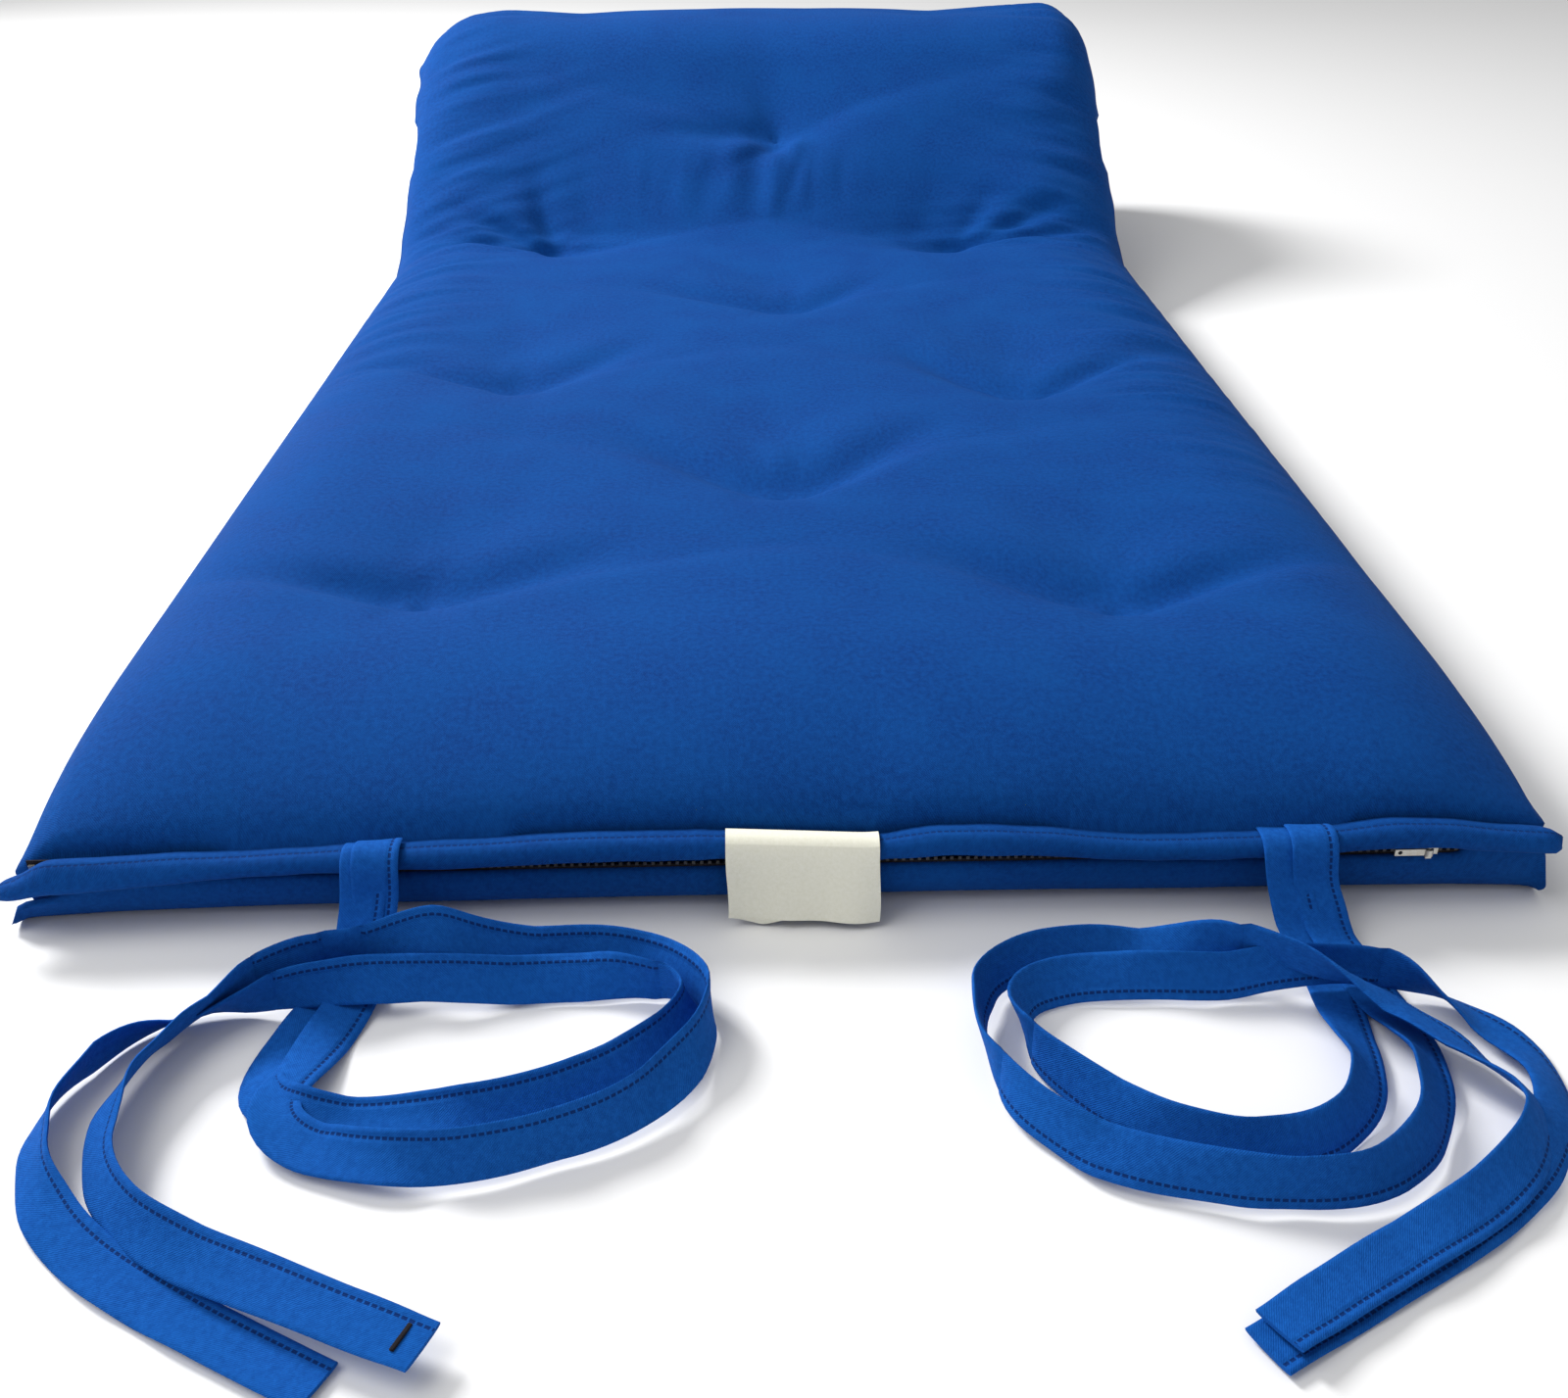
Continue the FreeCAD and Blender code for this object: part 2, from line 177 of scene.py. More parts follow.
def makeStudio():
    deselectAll()
    bpy.ops.mesh.primitive_plane_add(size=studio["floorSize"], location=(0, 0, 0))
    floor = bpy.context.object
    floor.name = "floor"
    mat = bpy.data.materials.new("paleFloor")
    mat.use_nodes = True
    shader = mat.node_tree.nodes["Principled BSDF"]
    shader.inputs["Base Color"].default_value = studio["floorColor"]
    shader.inputs["Roughness"].default_value = 0.85
    floor.data.materials.append(mat)
    world = bpy.data.worlds.new("studio")
    world.use_nodes = True
    background = world.node_tree.nodes["Background"]
    background.inputs["Color"].default_value = studio["worldColor"]
    background.inputs["Strength"].default_value = studio["worldStrength"]
    bpy.context.scene.world = world
    aim = Vector(studio["aim"]) + Vector((0, footY, 0))
    for name, (place, size, power) in studio["lamps"].items():
        light = bpy.data.lights.new(name, "AREA")
        light.size = size
        light.energy = power
        lamp = bpy.data.objects.new(name, light)
        bpy.context.scene.collection.objects.link(lamp)
        lamp.location = Vector(place) + Vector((0, footY, 0))
        lamp.rotation_euler = (aim - lamp.location).to_track_quat("-Z", "Y").to_euler()
    bpy.context.scene.view_settings.view_transform = "Standard"


makeCamera()
makeStudio()
print("camera and studio set")


def addNode(tree, kind, **values):
    node = tree.nodes.new(kind)
    for key, value in values.items():
        setattr(node, key, value)
    return node


def setInputs(node, **values):
    for key, value in values.items():
        node.inputs[key].default_value = value


def plugIn(tree, value, socket):
    # a socket is linked, a number or color is set
    if isinstance(value, bpy.types.NodeSocket):
        tree.links.new(value, socket)
    else:
        socket.default_value = value


def mathNode(tree, operation, *values, clamp=False):
    node = addNode(tree, "ShaderNodeMath", operation=operation, use_clamp=clamp)
    for value, socket in zip(values, node.inputs):
        plugIn(tree, value, socket)
    return node.outputs[0]


def noiseNode(tree, vector, scale, detail, roughness=0.5):
    node = addNode(tree, "ShaderNodeTexNoise")
    setInputs(node, Detail=detail, Roughness=roughness)
    tree.links.new(vector, node.inputs["Vector"])
    plugIn(tree, scale, node.inputs["Scale"])
    return node.outputs["Fac"]


def newGroup(name, inputs, outputs):
    group = bpy.data.node_groups.new(name, "ShaderNodeTree")
    for label, kind, value in inputs:
        socket = group.interface.new_socket(name=label, in_out="INPUT", socket_type=kind)
        if value is not None:
            socket.default_value = value
    for label, kind in outputs:
        group.interface.new_socket(name=label, in_out="OUTPUT", socket_type=kind)
    return group, group.nodes.new("NodeGroupInput"), group.nodes.new("NodeGroupOutput")


def makeTwillGroup():
    # Diagonal twill lines with slubby yarns: gives a height, a tone and a slow mottle.
    group, start, end = newGroup(
        "twillWeave",
        [("Vector", "NodeSocketVector", None), ("Line Spacing", "NodeSocketFloat", 0.0011),
         ("Slub Size", "NodeSocketFloat", 0.004), ("Mottle Size", "NodeSocketFloat", 0.05)],
        [("Height", "NodeSocketFloat"), ("Tone", "NodeSocketFloat"), ("Mottle", "NodeSocketFloat")])
    vector = start.outputs["Vector"]
    axes = addNode(group, "ShaderNodeSeparateXYZ")
    group.links.new(vector, axes.inputs[0])
    diagonal = mathNode(group, "ADD", axes.outputs[0], axes.outputs[1])
    phase = mathNode(group, "DIVIDE", diagonal, start.outputs["Line Spacing"])
    shifted = mathNode(group, "ADD", phase, noiseNode(group, vector, 900.0, 2.0))
    lines = mathNode(group, "SINE", mathNode(group, "MULTIPLY", shifted, 2 * math.pi))
    slubScale = mathNode(group, "DIVIDE", 1.0, start.outputs["Slub Size"])
    slub = noiseNode(group, vector, slubScale, 4.0, 0.75)
    mottleScale = mathNode(group, "DIVIDE", 1.0, start.outputs["Mottle Size"])
    mottle = noiseNode(group, vector, mottleScale, 3.0, 0.6)
    group.links.new(mathNode(group, "MULTIPLY_ADD", lines, 0.35, slub), end.inputs["Height"])
    group.links.new(mathNode(group, "MULTIPLY_ADD", lines, 0.12, slub), end.inputs["Tone"])
    group.links.new(mottle, end.inputs["Mottle"])
    return group


def makeStitchGroup():
    # A dashed seam along v at a given u: a mask for the thread and a dip for the cloth.
    group, start, end = newGroup(
        "stitchLine",
        [("Vector", "NodeSocketVector", None), ("Offset", "NodeSocketFloat", 0.004),
         ("Thread Width", "NodeSocketFloat", 0.0007), ("Stitch Length", "NodeSocketFloat", 0.003)],
        [("Thread", "NodeSocketFloat"), ("Dip", "NodeSocketFloat")])
    axes = addNode(group, "ShaderNodeSeparateXYZ")
    group.links.new(start.outputs["Vector"], axes.inputs[0])
    threadWidth = start.outputs["Thread Width"]
    away = mathNode(group, "SUBTRACT", axes.outputs[0], start.outputs["Offset"])
    distance = mathNode(group, "ABSOLUTE", away)
    near = mathNode(group, "LESS_THAN", distance, threadWidth)
    steps = mathNode(group, "DIVIDE", axes.outputs[1], start.outputs["Stitch Length"])
    part = mathNode(group, "FRACT", steps)
    dash = mathNode(group, "LESS_THAN", part, 0.72)
    group.links.new(mathNode(group, "MULTIPLY", near, dash), end.inputs["Thread"])
    wide = mathNode(group, "MULTIPLY", threadWidth, 3.0)
    share = mathNode(group, "DIVIDE", distance, wide, clamp=True)
    group.links.new(mathNode(group, "SUBTRACT", 1.0, share), end.inputs["Dip"])
    return group


twillGroup = makeTwillGroup()
stitchGroup = makeStitchGroup()


def mixColors(tree, factor, a, b):
    mix = addNode(tree, "ShaderNodeMix", data_type="RGBA")
    for socket, value in ((mix.inputs[0], factor), (mix.inputs[6], a), (mix.inputs[7], b)):
        plugIn(tree, value, socket)
    return mix.outputs[2]


def ramp(tree, value, low, high, lowTo=0.0, highTo=1.0):
    node = addNode(tree, "ShaderNodeMapRange")
    setInputs(node, **{"From Min": low, "From Max": high, "To Min": lowTo, "To Max": highTo})
    tree.links.new(value, node.inputs["Value"])
    return node.outputs["Result"]


def clothMaterial(name, look):
    # Woven cloth on the piece's own cloth map, with an optional line of stitches.
    mat = bpy.data.materials.new(name)
    mat.use_nodes = True
    tree = mat.node_tree
    shader = tree.nodes["Principled BSDF"]
    if look.get("objectSpace"):
        vector = addNode(tree, "ShaderNodeTexCoord").outputs["Object"]
    else:
        vector = addNode(tree, "ShaderNodeUVMap", uv_map="cloth").outputs["UV"]
    weave = addNode(tree, "ShaderNodeGroup", node_tree=twillGroup)
    setInputs(weave, **{"Line Spacing": look["lineSpacing"], "Slub Size": look["slubSize"],
                        "Mottle Size": look["mottleSize"]})
    tree.links.new(vector, weave.inputs["Vector"])
    tone = ramp(tree, weave.outputs["Tone"], 0.3, 0.72)
    color = mixColors(tree, tone, look["dark"], look["light"])
    mottle = ramp(tree, weave.outputs["Mottle"], 0.3, 0.7, 0.0, look["mottle"])
    color = mixColors(tree, mottle, color, look["faded"])
    height = weave.outputs["Height"]
    if "stitch" in look:
        seam = addNode(tree, "ShaderNodeGroup", node_tree=stitchGroup)
        setInputs(seam, **{"Offset": look["stitch"], "Thread Width": 0.0007, "Stitch Length": 0.0032})
        tree.links.new(vector, seam.inputs["Vector"])
        color = mixColors(tree, seam.outputs["Thread"], color, look["thread"])
        height = mathNode(tree, "MULTIPLY_ADD", seam.outputs["Dip"], -4.0, height)
    tree.links.new(color, shader.inputs["Base Color"])
    bump = addNode(tree, "ShaderNodeBump")
    setInputs(bump, Strength=look["bump"], Distance=0.0006)
    tree.links.new(height, bump.inputs["Height"])
    tree.links.new(bump.outputs["Normal"], shader.inputs["Normal"])
    rough = ramp(tree, weave.outputs["Mottle"], 0.3, 0.7, look["rough"] - 0.05, look["rough"] + 0.05)
    tree.links.new(rough, shader.inputs["Roughness"])
    setInputs(shader, **{"Sheen Weight": look["sheen"], "Sheen Roughness": 0.4,
                         "Sheen Tint": look["sheenTint"], "Specular IOR Level": 0.07})
    return mat


blueCloth = {
    "dark": (0.0016, 0.033, 0.178, 1), "light": (0.0038, 0.071, 0.318, 1),
    "faded": (0.0060, 0.088, 0.338, 1), "lineSpacing": 0.0012, "slubSize": 0.0035,
    "mottleSize": 0.06, "mottle": 0.35,
    "bump": 0.35, "rough": 0.9, "sheen": 0.03, "sheenTint": (0.1, 0.35, 1.0, 1),
}
coverTwill = clothMaterial("coverTwill", blueCloth)
# painted light: the ties are the cover's cloth with lighter dark and light colours, so the straps read
# brighter than the lamps alone make them
tieTwill = clothMaterial("tieTwill", dict(
    blueCloth, dark=(0.0040, 0.066, 0.315, 1), light=(0.0095, 0.120, 0.500, 1), stitch=0.0045,
    thread=(0.004, 0.03, 0.15, 1)))
lipTwill = clothMaterial("lipTwill", dict(blueCloth, stitch=0.0105, thread=(0.004, 0.03, 0.15, 1)))
labelCloth = clothMaterial("labelCloth", {
    "dark": (0.86, 0.85, 0.70, 1), "light": (0.98, 0.97, 0.85, 1), "faded": (0.91, 0.90, 0.77, 1),
    "lineSpacing": 0.0006, "slubSize": 0.002, "mottleSize": 0.02, "mottle": 0.4,
    "bump": 0.25, "rough": 0.9, "sheen": 0.1, "sheenTint": (1, 1, 1, 1)})
tapeCloth = clothMaterial("zipperTape", {
    "dark": (0.008, 0.007, 0.009, 1), "light": (0.022, 0.019, 0.024, 1), "faded": (0.03, 0.026, 0.03, 1),
    "lineSpacing": 0.0009, "slubSize": 0.002, "mottleSize": 0.02, "mottle": 0.4, "objectSpace": True,
    "bump": 0.5, "rough": 0.85, "sheen": 0.1, "sheenTint": (1, 1, 1, 1)})
battingFibre = clothMaterial("battingFibre", {
    "dark": (0.72, 0.70, 0.63, 1), "light": (0.9, 0.89, 0.85, 1), "faded": (0.8, 0.78, 0.7, 1),
    "lineSpacing": 0.01, "slubSize": 0.008, "mottleSize": 0.04, "mottle": 0.5, "objectSpace": True,
    "bump": 0.9, "rough": 0.95, "sheen": 0.2, "sheenTint": (1, 1, 1, 1)})
twineCloth = clothMaterial("tuftingTwine", {
    "dark": (0.006, 0.04, 0.2, 1), "light": (0.012, 0.08, 0.33, 1), "faded": (0.02, 0.1, 0.36, 1),
    "lineSpacing": 0.0014, "slubSize": 0.002, "mottleSize": 0.01, "mottle": 0.4, "objectSpace": True,
    "bump": 0.7, "rough": 0.7, "sheen": 0.1, "sheenTint": (0.4, 0.6, 1, 1)})


def solidMaterial(name, look):
    # Moulded, foamed or plated finishes: grain, speckle and worn edges on object coordinates.
    mat = bpy.data.materials.new(name)
    mat.use_nodes = True
    tree = mat.node_tree
    shader = tree.nodes["Principled BSDF"]
    place = addNode(tree, "ShaderNodeTexCoord").outputs["Object"]
    grain = noiseNode(tree, place, look["grain"], 5.0, 0.7)
    patch = noiseNode(tree, place, look["patch"], 2.0)
    color = mixColors(tree, ramp(tree, grain, 0.35, 0.7), look["dark"], look["light"])
    worn = ramp(tree, patch, 0.5, 0.68, 0.0, look["wear"])
    color = mixColors(tree, worn, color, look["worn"])
    tree.links.new(color, shader.inputs["Base Color"])
    rough = ramp(tree, patch, 0.3, 0.7, look["rough"] - 0.08, look["rough"] + 0.1)
    tree.links.new(rough, shader.inputs["Roughness"])
    bump = addNode(tree, "ShaderNodeBump")
    setInputs(bump, Strength=look["bump"], Distance=0.0004)
    tree.links.new(grain, bump.inputs["Height"])
    tree.links.new(bump.outputs["Normal"], shader.inputs["Normal"])
    shader.inputs["Metallic"].default_value = look["metal"]
    return mat


foamCream = solidMaterial("foamCream", {
    "dark": (0.62, 0.53, 0.34, 1), "light": (0.86, 0.78, 0.58, 1), "worn": (0.9, 0.8, 0.5, 1),
    "wear": 0.4, "grain": 450, "patch": 6, "rough": 0.88, "bump": 0.9, "metal": 0.0})
toothPlastic = solidMaterial("toothPlastic", {
    "dark": (0.012, 0.012, 0.014, 1), "light": (0.03, 0.03, 0.034, 1), "worn": (0.06, 0.06, 0.065, 1),
    "wear": 0.5, "grain": 1400, "patch": 90, "rough": 0.4, "bump": 0.2, "metal": 0.0})
wornNickel = solidMaterial("wornNickel", {
    "dark": (0.55, 0.53, 0.47, 1), "light": (0.72, 0.7, 0.64, 1), "worn": (0.62, 0.52, 0.36, 1),
    "wear": 0.35, "grain": 1800, "patch": 260, "rough": 0.36, "bump": 0.15, "metal": 0.85})
print("materials made")


frontEdge = {                          # the foot edge isn't straight: how far it goes back and up at each x
    "x": (-0.386, -0.362, -0.310, -0.262, -0.215, -0.172, -0.129, -0.077, -0.032, 0.041, 0.074, 0.131,
          0.155, 0.180, 0.205, 0.233, 0.270, 0.298, 0.328, 0.345, 0.374, 0.386),
    "back": (-0.006, -0.005, -0.002, 0.000, 0.0005, 0.001, 0.0015, 0.002, 0.002, 0.001, 0.002, 0.0015,
             0.001, 0.000, 0.000, 0.000, 0.0005, 0.001, 0.001, 0.001, 0.001, 0.000),
    "up": (-0.010, -0.0050, -0.0030, 0.0004, 0.0022, 0.0036, 0.0052, 0.0062, 0.0060, 0.0026, 0.0062, 0.0046,
           0.0020, 0.0002, 0.0002, 0.0012, 0.0026, 0.0062, 0.0060, 0.0030, -0.0004, -0.005),
}


def edgeShift(x):
    fine = np.linspace(-0.39, 0.39, 391)
    soft = np.exp(-np.linspace(-2, 2, 13) ** 2)
    shifts = []
    for key in ("back", "up"):
        raw = np.interp(np.pad(fine, 6, "reflect", reflect_type="odd"), frontEdge["x"], frontEdge[key])
        shifts.append(np.interp(x, fine, np.convolve(raw, soft / soft.sum(), "valid")))
    return shifts


def leftCorner(x):
    # 1 at the open left corner, where the edge droops
    return smoothstep(0.358, 0.376, -x)


ties = {
    "width": 0.0228, "thick": 0.0019, "ringPoints": 16, "step": 0.0045,
    "loopBack": {"Left": 0.022, "Right": 0.014},      # how far the tops of the loops lie from the edge
    "floorFlatten": 0.45, "floorRest": 0.005,         # the laid part sinks towards this height
    "kinkEvery": 0.05, "kinkLean": 62, "ripple": 0.25, "leanLift": 0.62, "sag": 0.0034, "clear": 0.0006,
    "overLip": [(0.0050, 0.0400), (0.0005, 0.0430), (-0.0055, 0.0434), (-0.0105, 0.0408),
                (-0.0128, 0.0360)],                   # back and up from the foot edge, out of the crease
    "outerLift": [-0.0022, 0.0022],                   # the outer strap lies on the inner one
    "tackSize": (0.0125, 0.0019, 0.0011), "tackRound": 0.0005,
    "rootShift": {"tieLeftInner": 0.001, "tieLeftOuter": -0.011, "tieRightInner": 0.000,
                  "tieRightOuter": -0.009},
    "loopTrim": {"tieLeftInner": -0.010, "tieLeftOuter": -0.020, "tieRightInner": 0.0,
                 "tieRightOuter": 0.004},
    "routes": {
        "tieLeftInner": [
            (-206, -14, 38), (-206, -14, 26), (-208, -34, 13), (-213, -64, 5), (-226, -94, 5),
            (-236, -122, 5), (-216, -143, 5), (-175, -148, 5), (-117, -142, 5), (-68, -118, 5),
            (-36, -84, 6), (-42, -54, 6), (-78, -40, 6), (-126, -40, 8), (-172, -47, 25),
            (-226, -53, 25), (-260, -66, 6), (-298, -92, 5), (-317, -132, 5), (-311, -172, 5),
            (-287, -206, 5), (-238, -238, 5), (-173, -272, 5)],
        "tieLeftOuter": [
            (-188, -14, 38), (-188, -14, 26), (-190, -34, 13), (-194, -64, 5), (-204, -90, 5),
            (-214, -116, 16), (-224, -142, 16), (-206, -162, 5), (-158, -175, 5), (-112, -169, 5),
            (-62, -148, 5), (-18, -112, 5), (-8, -68, 5), (-28, -32, 5), (-72, -19, 5),
            (-122, -22, 8), (-166, -28, 36), (-222, -34, 36), (-262, -82, 18), (-282, -114, 5),
            (-289, -150, 5), (-280, -184, 5), (-250, -212, 5), (-190, -240, 16), (-136, -264, 16)],
        "tieRightInner": [
            (244, -14, 38), (244, -14, 26), (248, -34, 13), (254, -66, 5), (250, -106, 5),
            (246, -142, 5), (224, -168, 5), (190, -178, 5), (152, -166, 5), (122, -142, 5),
            (102, -112, 5), (102, -78, 5), (122, -58, 5), (158, -58, 5), (196, -62, 8),
            (232, -58, 24), (276, -64, 24), (306, -92, 8), (328, -122, 5), (322, -160, 5),
            (284, -201, 5), (224, -234, 5), (166, -267, 5)],
        "tieRightOuter": [
            (262, -14, 38), (262, -14, 26), (266, -34, 13), (271, -66, 5), (274, -110, 5),
            (266, -158, 5), (240, -190, 5), (202, -200, 5), (154, -193, 5), (108, -172, 5),
            (82, -136, 5), (80, -88, 5), (98, -48, 5), (138, -32, 5), (178, -36, 8),
            (212, -46, 38), (258, -86, 38), (290, -126, 8), (310, -160, 5), (277, -200, 5),
            (211, -235, 5), (167, -262, 5)],
    },
    "lengths": {"tieLeftInner": 0.909, "tieLeftOuter": 1.004, "tieRightInner": 0.850,
                "tieRightOuter": 0.919},
    "nodes": {"tieLeftInner": "tie_left_inner", "tieLeftOuter": "tie_left_outer",
              "tieRightInner": "tie_right_inner", "tieRightOuter": "tie_right_outer"},
    # lean of the strap in degrees at shares of its length; positive lifts the left-hand edge
    "leans": {
        "tieLeftInner": [(0, 0), (0.12, 8), (0.2, 62), (0.27, 30), (0.36, 14), (0.43, 60), (0.48, 112),
                         (0.58, 124), (0.64, 88), (0.69, 38), (0.74, 35), (0.8, 34), (0.87, 12),
                         (0.94, 5), (1, 3)],
        "tieLeftOuter": [(0, 0), (0.12, 5), (0.22, 55), (0.3, 34), (0.38, 24), (0.44, 76), (0.49, 118),
                         (0.6, 122), (0.66, 84), (0.71, 30), (0.78, 40), (0.84, 42), (0.91, 26),
                         (0.96, 8), (1, 3)],
        "tieRightInner": [(0, 0), (0.12, -6), (0.22, -45), (0.28, -60), (0.35, -30), (0.41, -80),
                          (0.46, -118), (0.57, -124), (0.63, -80), (0.7, -24), (0.78, -40), (0.83, -30),
                          (0.88, -10), (1, -4)],
        "tieRightOuter": [(0, 0), (0.12, -4), (0.24, -60), (0.3, -48), (0.38, -26), (0.45, -80),
                          (0.5, -118), (0.62, -124), (0.68, -80), (0.73, -24), (0.8, -42), (0.86, -34),
                          (0.92, -12), (1, -5)],
    },
}


def routeLine(name):
    # The smooth centreline of a tie, as points read from its route's spline.
    curve = bpy.data.curves.new(name + "Route", "CURVE")
    curve.dimensions = "3D"
    spline = curve.splines.new("NURBS")
    route = ties["routes"][name]
    spline.points.add(len(route) - 1)
    for point, (x, y, z) in zip(spline.points, route):
        point.co = (x / 1000, footY + y / 1000, z / 1000, 1)
    spline.order_u = 3
    spline.use_endpoint_u = True
    spline.resolution_u = 12
    holder = bpy.data.objects.new(name + "Route", curve)
    bpy.context.scene.collection.objects.link(holder)
    mesh = bpy.data.meshes.new_from_object(holder)
    points = getCoords(mesh)
    bpy.data.objects.remove(holder)
    bpy.data.meshes.remove(mesh)
    return points


def strapSection(width, thick, count):
    # Flattened loop with full edges: half the points on each face.
    angles = np.linspace(0, 2 * math.pi, count, endpoint=False)
    across = np.sign(np.cos(angles)) * np.abs(np.cos(angles)) ** 0.55 * width / 2
    up = np.sign(np.sin(angles)) * np.abs(np.sin(angles)) ** 0.7 * thick / 2
    up *= 1 + 0.5 * (np.abs(across) / (width / 2)) ** 4
    return across, up


def makeTack(place, across):
    deselectAll()
    bpy.ops.mesh.primitive_cube_add(size=1, location=(0, 0, 0))
    tack = bpy.context.object
    tack.name = "barTack"
    bpy.ops.transform.resize(value=ties["tackSize"])
    turn = math.atan2(across.y, across.x)
    bpy.ops.transform.rotate(value=-turn, orient_axis="Z", center_override=(0, 0, 0))
    bpy.ops.transform.translate(value=place)
    bpy.ops.object.transform_apply(location=True, rotation=True, scale=True)
    bevel = tack.modifiers.new("Bevel", "BEVEL")
    bevel.width = ties["tackRound"]
    bevel.segments = 3
    applyModifiers(tack)
    smoothShade(tack)
    tack.data.materials.append(tapeCloth)
    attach(tack, "foot_section")
    return tack


def makeTie(name):
    line = routeLine(name)
    steps = np.linalg.norm(np.diff(line, axis=0), axis=1)
    keep = np.concatenate([[True], steps > 1e-6])
    line = line[keep]
    line[:, 0] += ties["rootShift"][name] * (1 - smoothstep(0.02, 0.14, footY - line[:, 1]))
    line[:, 0] += ties["loopTrim"][name] * smoothstep(-0.10, -0.01, line[:, 0])
    low = ties["floorRest"]
    sunk = low + (line[:, 2] - low) * ties["floorFlatten"]
    line[:, 2] = np.where(line[:, 1] < footY - 0.030, sunk, line[:, 2])
    loopTop = smoothstep(-0.10, -0.03, line[:, 1] - footY) * smoothstep(0.13, 0.2, runLengths(line))
    side = "Left" if "Left" in name else "Right"
    line[:, 1] -= ties["loopBack"][side] * loopTop
    # the strap comes out of the crease above the lip and folds down over it
    back, up = edgeShift(line[0, 0])
    over = np.array(ties["overLip"])
    over = np.stack([np.full(len(over), line[0, 0]), footY + over[:, 0] + back, over[:, 1] + up], 1)
    outer = "Outer" in name
    over[:, 1:] += ties["outerLift"] if outer else [0, 0]
    line = np.concatenate([over, line[line[:, 2] < 0.029]])
    reach = runLengths(line)
    even = np.linspace(0, reach[-1], int(reach[-1] / ties["step"]))
    line = np.stack([np.interp(even, reach, line[:, k]) for k in range(3)], 1)
    for turn in range(3):
        line[1:-1] = (line[:-2] + 2 * line[1:-1] + line[2:]) / 4
    along = runLengths(line)
    print(name, "runs", round(float(along[-1]), 3), "m")
    share = along / along[-1]
    leans = ties["leans"][name]
    lean = np.radians(np.interp(share, [a for a, b in leans], [b for a, b in leans]))
    tangent = np.gradient(line, along, axis=0)
    tangent /= np.linalg.norm(tangent, axis=1)[:, None]
    flat = tangent * [1, 1, 0]
    flat[along < 0.06] = [0, -1, 0]              # it leaves the seam straight down the front
    flat /= np.maximum(np.linalg.norm(flat, axis=1), 1e-6)[:, None]
    left = np.stack([-flat[:, 1], flat[:, 0], np.zeros(len(flat))], 1)
    half = ties["width"] / 2
    hanging = 1 - smoothstep(0.05, 0.075, along)
    knots = np.arange(0, along[-1] + 0.06, ties["kinkEvery"])
    kinks = np.array([noise.noise(Vector((k * 31, len(name) * 2.3, 6.5))) for k in knots])
    free = smoothstep(0.06, 0.1, along) * smoothstep(0.05, 0.24, along[-1] - along)
    lean += np.radians(ties["kinkLean"]) * np.interp(along, knots, kinks) * free
    lift = np.abs(np.sin(lean)) * half * ties["leanLift"]
    ripple = np.array([noise.noise(Vector((s * 38, len(name) * 3.7, 0.5))) for s in along])
    centre = line + np.stack([np.zeros(len(line)), np.zeros(len(line)), lift], 1)
    floorGap = np.abs(np.sin(lean)) * half + ties["thick"] * 0.6 + ties["clear"]
    above = (0.0016 + 0.0030 * smoothstep(0.68, 0.78, share)) if outer else 0    # outer lies on inner
    resting = np.maximum(centre[:, 2] - 0.0025 + above, floorGap + above)
    centre[:, 2] = centre[:, 2] * hanging + resting * (1 - hanging)
    lean += ripple * ties["ripple"]
    widthWay = left * np.cos(lean)[:, None]
    widthWay[:, 2] = np.sin(lean)
    across, up = strapSection(ties["width"], ties["thick"], ties["ringPoints"])
    rings = []
    for i in range(len(line)):
        way = Vector(widthWay[i]).normalized()
        normal = Vector(tangent[i]).cross(way)
        normal = normal.normalized() if normal.length > 1e-6 else Vector((0, -1, 0))
        if normal.z < 0:
            normal = -normal
        sag = ties["sag"] * free[i] * noise.noise(Vector((along[i] * 24, 1.5, len(name)))) + ties["clear"]
        ring = [np.array(Vector(centre[i]) + way * a + normal * (u + sag * (a / half) ** 2))
                for a, u in zip(across, up)]
        for p in ring:
            p[2] = max(p[2], 0.0004)
        rings.append(ring)
    tie = meshFromRings(name, rings)
    outwardNormals(tie)
    smoothShade(tie, 60)
    tie.data.materials.append(tieTwill)
    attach(tie, "foot_section")
    anchor = "tie_anchor_" + side.lower()
    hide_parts(ties["nodes"][name], *([] if outer else [anchor]))
    if name == "tieLeftOuter":                   # dark thread that closes the strap's end
        place = Vector(centre[-3]) + Vector((0, 0, ties["thick"] * 0.75))
        makeTack(place, Vector(widthWay[-3]))
    return tie


for tieName in ties["routes"]:
    makeTie(tieName)
print("ties laid")


mattress = {
    "width": 0.762, "length": 2.032, "loft": 0.085, "seamDrop": 0.004,
    "rowFirst": 0.211, "rowPitch": 0.2032, "rows": 9, "tuftSide": 0.208,
    "dimpleTop": 0.0140, "dimpleBottom": -0.030,       # heights of the tuft knots from the middle plane
    "cellsAcross": (17, 20, 20, 17), "cellsPerRow": 20, "cellsFoot": 21, "cellsHead": 19,
    "slack": 1.025, "pressure": 2.0, "frames": 20, "rim": 0.13,
    "crownTop": 0.0485, "crownBottom": -0.0424, "footSlope": 0.15,
    "foldOne": 0.516, "foldTwo": 0.922, "splitAt": 0.719,
    "rollFrom": 1.50,                                  # past here the layers press on each other
    "rollTop": 0.0422, "heel": 0.034, "lensRim": 0.15, "startPit": 0.05,
    "flange": 0.0032, "flangeWave": 0.0016, "ears": 0.005,      # the sewn edge that stands out at the side
    "tuck": 0.017, "tuckReach": 0.0384,                # below the seam the side turns in to the floor
    "lipGap": 0.0045,
}
path = {                                               # side path of the middle plane
    "rampStart": 1.000, "rampAngle": 33.0, "rampRadius": 0.150, "rampLength": 0.2365,
    "crestRadius": 0.130, "crestLength": 0.060, "backRadius": 0.087, "innerRadius": 0.044,
}


